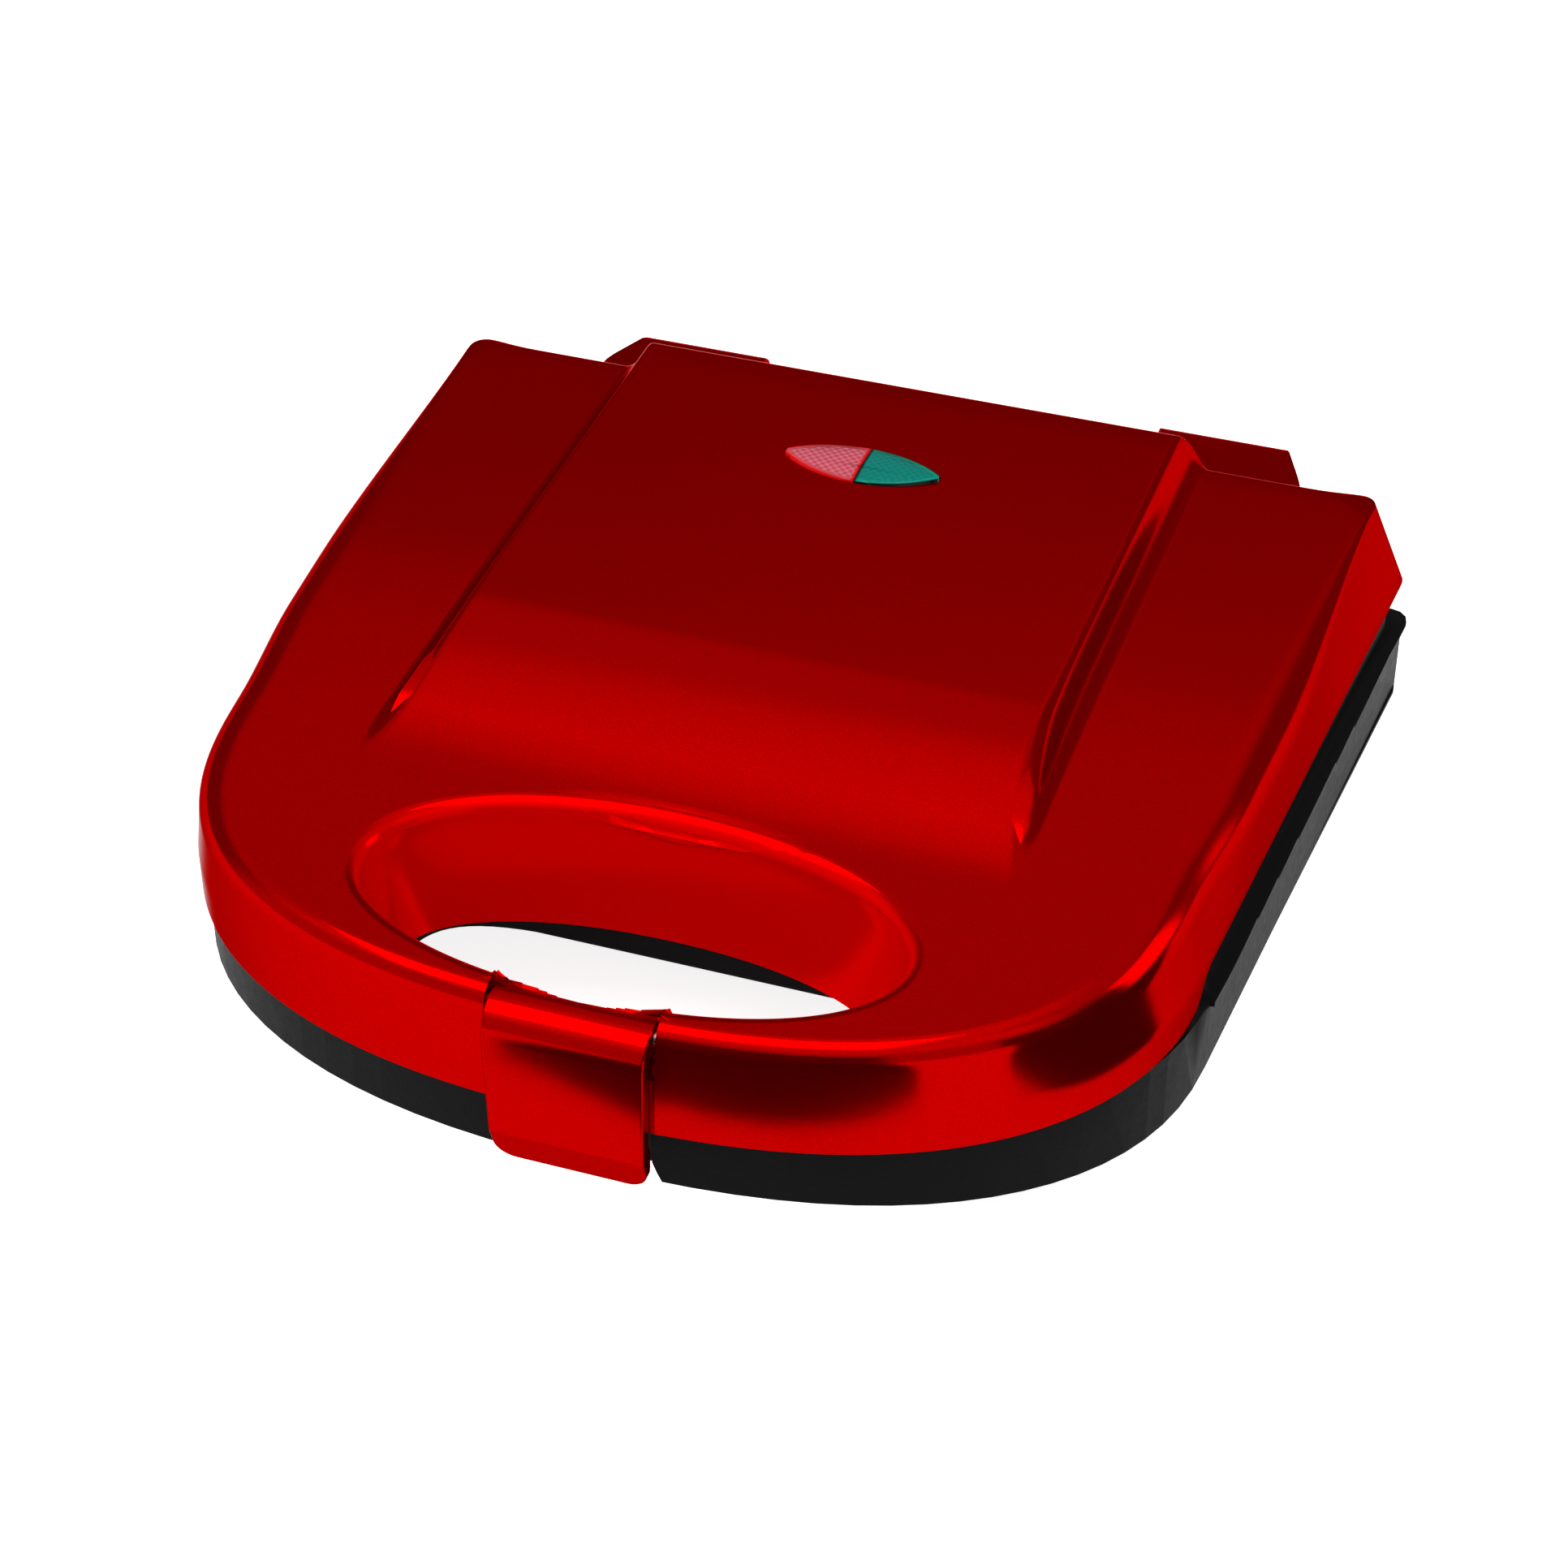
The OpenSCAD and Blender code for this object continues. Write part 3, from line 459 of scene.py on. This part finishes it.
def cover_rings():
    """Rings of the cover's skin, from its lip over the shoulder and the top into the finger hole."""
    plain = outline(2, lambda y: -OVER, -OVER, -OVER)
    rings = [[(x, y, mix(lip_z(y) - 0.05, LIP_Z + 0.8, t)) for x, y in plain] for t in steps(4)]
    arcs = [shoulder(t) for t in steps(16)]
    rings += [between(rings[-1], arcs[0], t) for t in steps(8)[1:-1]]
    rings += arcs
    rim = oval(plain, ROLL_R, ROLL_R)
    for t in steps(36)[1:]:
        flat = [(mix(p[0], q[0], t), mix(p[1], q[1], t)) for p, q in zip(arcs[-1], rim)]
        rings.append([(x, y, top_z(y) + OVER) for x, y in flat])
    radius = ROLL_R + OVER
    for turn in turns(12)[1:]:
        grow = ROLL_R - radius * math.sin(turn)
        rings.append(oval(plain, grow, grow, ROLL_R - radius * math.cos(turn)))
    foot = oval(plain, -5 - OVER, -4.6 - OVER, level=HANDLE_LIP_Z - 0.05)
    rings += [between(rings[-1], foot, t) for t in steps(8)[1:]]
    return slotted(rings)


def soft_max(a, b, width):
    """The greater of two heights, rounded where they are within width of each other."""
    part = min(1.0, max(0.0, 0.5 + 0.5 * (a - b) / width))
    return mix(b, a, part) + width * part * (1 - part)


def cover_z(y):
    """Height of the cover's plain top, with its rounded rear edge."""
    over_edge = min(max(y - (REAR_Y - 5.6), 0.0), 4.9)
    return top_z(y) - 5 + math.sqrt(25 - over_edge * over_edge) + OVER


def rim_depth(x, y):
    """How far a point lies inside the finger hole's rounded rim."""
    across, along = abs(x) / (HOLE_A + ROLL_R), abs(y - HOLE_Y) / (HOLE_B + ROLL_R)
    reach = (across ** HOLE_POWER + along ** HOLE_POWER) ** (1 / HOLE_POWER)
    return max(0.0, 1 - reach) * (HOLE_B + ROLL_R)


def panel_rings():
    """Height field of the raised panel, which runs out on the cover at its sides and front."""
    top, rear, edge_r = PANEL_Z + OVER, PANEL_REAR_Y + OVER, 6
    drop = PANEL_Z - top_z(PANEL_END_Y) + 1.2
    profile = [(rear - edge_r + edge_r * math.cos(a), top - edge_r + edge_r * math.sin(a)) for a in turns(14)]
    profile += [(mix(profile[-1][0], PANEL_FALL_Y, t), top) for t in steps(16)[1:]]
    for t in steps(60)[1:]:
        y = mix(PANEL_FALL_Y, PANEL_END_Y - 4, t)
        part = min(1.0, (PANEL_FALL_Y - y) / (PANEL_FALL_Y - PANEL_END_Y))
        profile.append((y, top - drop * (1 - math.cos(part * QUARTER)) - 0.5 * max(0.0, PANEL_END_Y - y)))
    flat_w, foot_w = 56, 72
    fine = [mix(flat_w, foot_w, t) for t in steps(44)]
    across = [-x for x in reversed(fine)] + [mix(-flat_w, flat_w, t) for t in steps(24)[1:-1]] + fine
    rings = [[(x, profile[0][0], 54.0) for x in across]]
    for y, z in profile:
        ring = []
        for x in across:
            forward, inside = ease((-y - 5) / 50), rim_depth(x, y)
            side = top + (PANEL_W - abs(x)) / PANEL_LEAN
            height = -soft_max(-z, -side, mix(1.5, 6, forward)) - 3 * inside
            ground = cover_z(y) - 0.02 - ROLL_R + math.sqrt(max(0.0, ROLL_R * ROLL_R - inside * inside))
            ring.append((x, y, soft_max(height, ground, mix(4, 3, forward))))
        rings.append(ring)
    return rings


def eye(grow, level):
    """Outline of the window: two arcs, their tips cut short."""
    long, wide = LENS_L + grow, LENS_W + grow
    radius = (long * long + wide * wide) / (2 * wide)
    reach = math.asin((long - 1) / radius)
    upper = [(radius * math.sin(a), LENS_Y + wide - radius + radius * math.cos(a), level)
             for a in (mix(-reach, reach, t) for t in steps(60))]
    return upper + [(x, 2 * LENS_Y - y, z) for x, y, z in reversed(upper)]


# ---- finishes, with lengths in metres
def matt_wall_painted_light(graph):
    """1 on the wall of the finger hole, where the lacquer is matt and painted paler: a painted highlight for
    the light that falls on that wall.
    """
    x, y, _ = graph.parts(place(graph))
    within = 2.6  # millimetres outside the hole at which the mask ends, part of the way up its rolled rim
    across = x * (1 / (HOLE_A + within) / MM)
    along = (y - HOLE_Y * MM) * (1 / (HOLE_B + within) / MM)
    return (across * across + along * along).step(1.0, 0.93)


def flaked(graph, colour):
    """Metallic lacquer: fine flake over slow clouds, with a painted highlight on the finger hole's wall."""
    low, high, cloud, painted_highlight_red = (tuple(min(1, k * c) for c in colour) for k in (0.9, 1.1, 0.7, 1.5))
    flake = noise(graph, 0.00035, 1).step(0.35, 0.75)
    lit = graph.blend(noise(graph, 0.05) * 0.16, graph.blend(flake, low, high), cloud)
    # Painted highlight: the finger hole's wall is painted half again as bright as the rest of the lacquer.
    return graph.blend(matt_wall_painted_light(graph), lit, painted_highlight_red)


def cloudy(graph, colour, size, depth):
    """A colour that pales and darkens in soft patches."""
    low, high = (tuple(k * c for c in colour) for k in (1 - depth, 1 + depth))
    return graph.blend(noise(graph, size, 4), low, high)


def speckled(graph, colour):
    """Non-stick coat with fine pale specks."""
    specks = noise(graph, 0.0004, 2).step(0.63, 0.7) * 0.5
    return graph.blend(specks, cloudy(graph, colour, 0.015, 0.25), (0.16, 0.16, 0.165))


def brushed(graph):
    """Fine lines along the width."""
    stretched, lines_per_metre = (0.05, 1, 1), 2600
    spot = graph.node("ShaderNodeMapping", inputs={"Vector": place(graph), "Scale": stretched})
    return graph.node("ShaderNodeTexNoise", inputs={"Vector": spot, "Scale": lines_per_metre, "Detail": 2})


def grained(name, colour, clouds, rough, grain, **constants):
    """A plain finish. clouds: size, depth; rough: least, spread, size; grain: size, height."""
    least, spread, size = rough
    return finish(name, lambda g: cloudy(g, colour, *clouds), lambda g: least + noise(g, size) * spread,
                  lambda g: (noise(g, grain[0], 3), grain[1]), **constants)


def drawn(name, colour, clouds, least, height):
    """Metal with fine lines in its gloss and relief."""
    return finish(name, lambda g: cloudy(g, colour, *clouds), lambda g: least + brushed(g) * 0.2,
                  lambda g: (brushed(g), height), Metallic=1.0)


def window_finish(name, dark, light, rim, edge):
    """A ribbed window: crossed lines in its middle, a deeper rim and an outline in painted light: painted
    shade of the gap round it on the green window, a painted highlight of the rounded opening on the rose one.
    """
    radius = (LENS_L * LENS_L + LENS_W * LENS_W) / (2 * LENS_W) * MM
    ribs = 3400

    def fields(graph):
        x, y, _ = graph.parts(place(graph))
        across = (y - LENS_Y * MM).size() + (radius - LENS_W * MM)
        inside = radius - (x * x + across * across) ** 0.5
        lines = ((x + y) * ribs).sine() * 0.5 + ((x - y) * ribs).sine() * 0.5
        return inside, inside.step(0.0009, 0.0015), x.size().step(0.0003, 0.0009), lines * 0.5 + 0.5

    def base(graph):
        inside, middle, parted, lines = fields(graph)
        framed = graph.blend(middle, rim, graph.blend(lines, dark, light))
        # Painted light along the outline: dark painted shade of the gap on the green window, a bright red
        # painted highlight on the rose one.
        return graph.blend(inside.step(0.0003, 0.0007) * parted, edge, framed)

    def relief(graph):
        _, middle, parted, lines = fields(graph)
        return middle * parted * lines, 0.00016

    return finish(name, base, lambda g: 0.2 + noise(g, 0.002) * 0.06, relief, Specular_IOR_Level=0.1)


def donut_maker_finishes(looks):
    """Every finish by its kind."""
    return {
        "red": finish("lacquer_red", lambda g: flaked(g, looks.red), lambda g: 0.11 + noise(g, 0.03) * 0.06,
                      lambda g: (noise(g, 0.006), 0.00001), Metallic=lambda g: 0.9 - matt_wall_painted_light(g) * 0.6,
                      Specular_IOR_Level=0.0, Specular_Tint=(0.5, 0.0, 0.0)),
        "black": grained("moulded_black", looks.black, (0.02, 0.3), (0.34, 0.16, 0.002), (0.0007, 0.00004),
                         Specular_IOR_Level=0.05),
        "coat": finish("plate_coat", lambda g: speckled(g, looks.plate),
                       lambda g: 0.3 + noise(g, 0.004) * 0.18, lambda g: (noise(g, 0.0005, 3), 0.00003)),
        "steel": drawn("plated_steel", (0.58, 0.58, 0.6), (0.004, 0.2), 0.25, 0.00002),
        "heater": grained("heater_steel", (0.3, 0.28, 0.27), (0.006, 0.5), (0.4, 0.2, 0.003),
                          (0.0008, 0.00004), Metallic=1.0),
        "sheet": drawn("bright_sheet", (0.78, 0.79, 0.8), (0.01, 0.12), 0.18, 0.00003),
        "pale": grained("pale_plastic", (0.72, 0.7, 0.65), (0.004, 0.12), (0.42, 0.15, 0.001),
                        (0.0006, 0.00003)),
        "rubber": grained("foot_rubber", (0.022, 0.022, 0.022), (0.002, 0.4), (0.7, 0.2, 0.001),
                          (0.0006, 0.00006)),
        "glass": finish("lamp_glass", lambda g: cloudy(g, (0.9, 0.72, 0.6), 0.002, 0.2),
                        lambda g: 0.06 + noise(g, 0.002) * 0.06),
        # The last colour of each window paints light at its outline: a painted highlight on the rose window,
        # painted shade on the green one.
        "rose": window_finish("rose_window", (0.48, 0.04, 0.07), (0.7, 0.17, 0.22), (0.62, 0.06, 0.08),
                              (0.75, 0.0, 0.0)),
        "green": window_finish("green_window", (0.0, 0.18, 0.145), (0.0, 0.23, 0.19), (0.0, 0.3, 0.19),
                               (0.0, 0.01, 0.008)),
    }


KINDS = (("housing", "red"), ("latch_clip", "red"), ("plate_screws", "steel"),
         ("reflector_screws", "steel"), ("plate", "coat"), ("heater", "heater"), ("reflector", "sheet"),
         ("screws", "steel"), ("pin", "steel"), ("foot", "rubber"), ("red_lens", "rose"),
         ("green_lens", "green"), ("_lamp", "glass"), ("cord_clamp", "black"))
PIECES = {"cover_skin": "red", "cover_core": "red", "panel_skin": "red", "latch_clip_face": "red",
          "latch_clip_hook": "red", "lower_housing_smooth": "black"}
SMOOTHED = ("lower_housing", "lower_plate", "upper_plate", "lower_heater", "upper_heater", "hinge_pin_left",
            "hinge_pin_right", "latch_pin", "foot_front_left", "foot_front_right", "foot_rear_left",
            "foot_rear_right", "red_lens", "green_lens")


def kind_of(node):
    """The finish of a CAD node, by its name: the first of KINDS that is in it."""
    for part, kind in KINDS:
        if part in node:
            return kind
    return "pale"


# ---- sizes and colours
class DonutMakerLooks(bpy.types.PropertyGroup):
    red: bpy.props.FloatVectorProperty(
        name="Cover red", description="Colour of the cover's metallic lacquer",
        subtype="COLOR", size=3, min=0, max=1, default=(0.54, 0.0, 0.0))
    black: bpy.props.FloatVectorProperty(
        name="Tub black", description="Colour of the lower housing",
        subtype="COLOR", size=3, min=0, max=1, default=(0.0045, 0.0045, 0.0048))
    plate: bpy.props.FloatVectorProperty(
        name="Plate coat", description="Colour of the plates' non-stick coat",
        subtype="COLOR", size=3, min=0, max=1, default=(0.03, 0.03, 0.032))
    skin: bpy.props.FloatProperty(
        name="Skin", description="Thickness of the cover's outer skin, in millimetres",
        min=0.3, max=1.5, default=1.2)


# ---- steps
class OBJECT_OT_cover_skin(bpy.types.Operator):
    """Moulds the smooth outer skin of the cover with its raised panel over the solid cover"""
    bl_idname = "object.cover_skin"
    bl_label = "Mould the cover"

    def execute(self, context):
        looks = context.scene.donut_maker
        cover = skin("cover_skin", cover_rings())
        without(cover, lambda x, y, z: abs(x) < 57 and -40 < y < 78 and z > SIDE_Z - 3)
        panel = skin("panel_skin", panel_rings(), closed=False)
        for piece in (cover, panel):
            if sum(p.normal.z * p.area for p in piece.data.polygons) < 0:
                in_edit(piece, (bpy.ops.mesh.flip_normals, {}))
        self.sink_core(cover, panel)
        without(cover, self.in_latch_slot)
        for piece in (cover, panel):
            modified(piece, "SOLIDIFY", thickness=looks.skin * MM, offset=-1.0)
        cut(panel, prism("eye_room", eye(0, PANEL_Z - 8), (0, 0, 20)))
        for piece in (cover, panel):
            smooth(piece)
            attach(piece, "lid")
        return {"FINISHED"}

    def in_latch_slot(self, x, y, z):
        """The slot is open above the pin as far as the clip's knuckle turns, and lower down before it."""
        over_pin = y < LATCH_Y + 4.2 and z > LATCH_Z - 4
        before_pin = y < LATCH_Y and z > LATCH_Z - 8
        return abs(x) < SLOT_W and (over_pin or before_pin)

    def sink_core(self, *skins):
        """The solid cover stays under the skins: its outer face is drawn into its wall."""
        core = casting("cover_core", "upper_housing", 35)
        depsgraph = bpy.context.evaluated_depsgraph_get()
        trees = [BVHTree.FromObject(piece, depsgraph) for piece in skins]
        for vertex in core.data.vertices:
            near = min((tree.find_nearest(vertex.co) for tree in trees), key=lambda found: found[3])
            if near[3] < CORE_SINK * MM:
                vertex.co = vertex.co - near[1] * CORE_SINK * MM
        core.data.update()
        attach(core, "lid")


class OBJECT_OT_latch(bpy.types.Operator):
    """Moulds the latch clip with its rolled top, chamfered foot and hook"""
    bl_idname = "object.latch_clip"
    bl_label = "Mould the latch"

    def execute(self, context):
        face, back = LATCH_FACE_Y, FRONT_Y - 0.45
        hook_z = DECK_Z - TUB_WALL - 0.5  # just under the catch deck
        profile = self.clip_profile(face, back, hook_z)
        clip = prism("latch_clip_face", [(-CLIP_W, y, z) for y, z in profile], (2 * CLIP_W, 0, 0))
        front = [(CLIP_W, 70), (-CLIP_W, 70)]
        for side in (-1, 1):
            corner = [(side * (FOOT_W - FOOT_CORNER_R + FOOT_CORNER_R * math.cos(a)),
                       LATCH_LOW_Z + FOOT_CORNER_R - FOOT_CORNER_R * math.sin(a)) for a in turns(10)]
            front += corner if side < 0 else corner[::-1]
        rounded_foot = prism("clip_outline", [(x, face - 1, z) for x, z in front], (0, 30, 0))
        cut(clip, rounded_foot, operation="INTERSECT")
        cut(clip, rod("pin_room", (0, LATCH_Y, LATCH_Z), PIN_ROOM_R, 60))
        rounded(clip, 0.45, limit=50)
        root, tip = back + 0.2, TUB_FRONT_Y + 3.3
        side = [(root, hook_z), (tip, hook_z), (tip, hook_z - 1.4), (tip - 0.8, hook_z - 3.2),
                (root, hook_z - 3.2)]
        hook = prism("latch_clip_hook", [(-HOOK_W, y, z) for y, z in side], (2 * HOOK_W, 0, 0))
        rounded(hook, 0.3)
        for piece in (clip, hook):
            sewn(piece)
            smooth(piece, 12)
            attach(piece, "latch")
        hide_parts("latch_clip")
        return {"FINISHED"}

    def clip_profile(self, face, back, hook_z):
        """Side view of the clip: knuckle, rolled front, chamfered foot and back."""
        knuckle, roll, top = KNUCKLE_R, FACE_ROLL_R, LATCH_Z + KNUCKLE_R
        profile = [(LATCH_Y + knuckle * math.cos(a), LATCH_Z + knuckle * math.sin(a)) for a in turns(12)[:-1]]
        profile += [(face + roll - roll * math.cos(a), top - roll + roll * math.sin(a))
                    for a in ((1 - t) * QUARTER for t in steps(24))]
        profile += [(face, LATCH_LOW_Z + 8), (face + 2.6, LATCH_LOW_Z), (back + 1, LATCH_LOW_Z),
                    (back + 1, hook_z), (back, hook_z), (back, LATCH_Z - 3.5), (LATCH_Y, LATCH_Z - knuckle)]
        under = turns(8)[1:-1]
        return profile + [(LATCH_Y + knuckle * math.sin(a), LATCH_Z - knuckle * math.cos(a)) for a in under]


class OBJECT_OT_castings(bpy.types.Operator):
    """Gives the tub, the plates and the round metal pieces smooth faces"""
    bl_idname = "object.donut_castings"
    bl_label = "Smooth the castings"

    def execute(self, context):
        for node in SMOOTHED:
            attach(casting(node + "_smooth", node), body_of(frame["nodes"][node])[0])
        return {"FINISHED"}


class OBJECT_OT_donut_finishes(bpy.types.Operator):
    """Gives every piece its finish"""
    bl_idname = "object.donut_finishes"
    bl_label = "Finish the pieces"

    def execute(self, context):
        made = donut_maker_finishes(context.scene.donut_maker)
        for name, obj in frame["nodes"].items():
            dress(obj, made[kind_of(name)])
        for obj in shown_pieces():
            if obj.name in PIECES or obj.name.endswith("_smooth"):
                kind = PIECES.get(obj.name) or kind_of(obj.name.removesuffix("_smooth"))
                dress(obj, made[kind])
        return {"FINISHED"}


class OBJECT_OT_donut_stage(bpy.types.Operator):
    """Adds the pale floor, the soft studio light and the camera"""
    bl_idname = "object.donut_stage"
    bl_label = "Set the stage"

    def execute(self, context):
        scene = context.scene
        self.pale_floor()
        self.studio_sky(scene)
        self.soft_light("key_light", (-0.3, -0.5, 1.6), (0.35, -0.2, 0), (1.6, 1.2), 12)
        self.soft_light("side_light", (0.85, 0.35, 0.35), (0, 1.3, 0.35), (0.5, 0.4), 1.2)
        self.three_quarter_camera(scene)
        scene.view_settings.view_transform = "Standard"
        return {"FINISHED"}

    def pale_floor(self):
        """A floor that the camera sees plain; two dark fields on it are seen by reflected rays alone."""
        bpy.ops.object.select_all(action="DESELECT")
        bpy.ops.mesh.primitive_plane_add(size=8)
        floor = bpy.context.active_object
        floor.name = "floor"
        material = bpy.data.materials.new("pale_floor")
        material.use_nodes = True
        graph = Graph(material.node_tree)
        x, y, _ = graph.parts(place(graph))
        seen = graph.node("ShaderNodeLightPath", output=0)
        near = y - x.above(0) * 0.13 - x.below(0) * 0.3
        ahead = (near.step(-0.1655, -0.168) * (x - y * 0.24).step(0.004, 0.009)
                 * (x + y * 0.51).step(0.018, 0.012))
        aside = ((x - y * 0.18).step(0.151, 0.153) * (y + x * 0.6).step(-0.053, -0.05)
                 * (y - x * 0.7).step(-0.148, -0.151))
        dark = ahead + aside
        shade = graph.blend((1 - seen) * dark, (0.9, 0.9, 0.9), (0.03, 0.03, 0.03))
        matt = graph.node("ShaderNodeBsdfDiffuse", inputs={"Color": shade})
        strength = seen * 0.85 + (1 - seen) * (1 - dark) * 0.3
        glow = graph.node("ShaderNodeEmission", inputs={"Color": (1, 1, 1), "Strength": strength})
        both = graph.node("ShaderNodeAddShader", inputs={0: matt, 1: glow})
        graph.node("ShaderNodeOutputMaterial", inputs={"Surface": both}, output=None)
        dress(floor, material)
        floor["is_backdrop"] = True

    def studio_sky(self, scene):
        """A sky that is bright overhead; reflected rays meet two dark fields low in it."""
        world = bpy.data.worlds.new("studio")
        scene.world = world
        world.use_nodes = True
        sky = Graph(world.node_tree)
        x, y, z = sky.parts(sky.node("ShaderNodeTexCoord", output=0))
        glow = 0.2 + z.step(0.5, 0.66) * 0.36 + z.step(0.8, 0.97) * 0.42
        level = patch(z, -0.1, 0.42, 0.03)
        ahead = (x - y * 0.2).step(-0.04, 0.0) * (x + y * 0.5).step(0.02, -0.02) * y.step(0.0, -0.1)
        aside = (y + x * 0.68).step(-0.02, 0.02) * (y - x * 0.25).step(0.02, -0.02) * x.step(0.3, 0.4)
        front = y.step(0.1, -0.3) * z.step(0.95, 0.8) * 0.45
        glow = (glow + front) * (1 - level * (ahead + aside) * 0.9)
        seen = sky.node("ShaderNodeLightPath", output=0)
        strength = glow * (1 - seen) + seen * 1.2
        back = sky.node("ShaderNodeBackground", inputs={"Color": (1, 1, 1), "Strength": strength})
        sky.node("ShaderNodeOutputWorld", inputs={"Surface": back}, output=None)

    def three_quarter_camera(self, scene):
        elevation, azimuth = 37.63, 18.84
        lens = bpy.data.cameras.new("camera")
        lens.lens, lens.sensor_width = 83.37, 36.0
        camera = bpy.data.objects.new("camera", lens)
        scene.collection.objects.link(camera)
        camera.location = (0.1931, -0.5681, 0.4833)
        camera.rotation_euler = (math.radians(90 - elevation), 0, math.radians(azimuth))
        scene.camera = camera

    def soft_light(self, name, spot, turn, size, power):
        bpy.ops.object.light_add(type="AREA", location=spot, rotation=turn)
        light = bpy.context.active_object
        light.name = name
        light.data.shape, light.data.energy = "RECTANGLE", power
        light.data.size, light.data.size_y = size
        light.visible_camera = False


class VIEW3D_PT_donut_maker(bpy.types.Panel):
    """Lists the steps and the looks of the donut maker"""
    bl_idname = "VIEW3D_PT_donut_maker"
    bl_label = "Donut Maker"
    bl_space_type = "VIEW_3D"
    bl_region_type = "UI"
    bl_category = "Donut Maker"

    def draw(self, context):
        for step in STEPS:
            self.layout.operator(step.bl_idname)
        for key in DonutMakerLooks.__annotations__:
            self.layout.prop(context.scene.donut_maker, key)


STEPS = (OBJECT_OT_cover_skin, OBJECT_OT_latch, OBJECT_OT_castings, OBJECT_OT_donut_finishes,
         OBJECT_OT_donut_stage)
CLASSES = (DonutMakerLooks, *STEPS, VIEW3D_PT_donut_maker)


def register():
    for each in CLASSES:
        bpy.utils.register_class(each)
    bpy.types.Scene.donut_maker = bpy.props.PointerProperty(type=DonutMakerLooks)


def unregister():
    del bpy.types.Scene.donut_maker
    for each in reversed(CLASSES):
        bpy.utils.unregister_class(each)


def main():
    register()
    bpy.ops.object.cover_skin()
    bpy.ops.object.latch_clip()
    bpy.ops.object.donut_castings()
    bpy.ops.object.donut_finishes()
    bpy.ops.object.donut_stage()


if __name__ == "__main__":
    main()
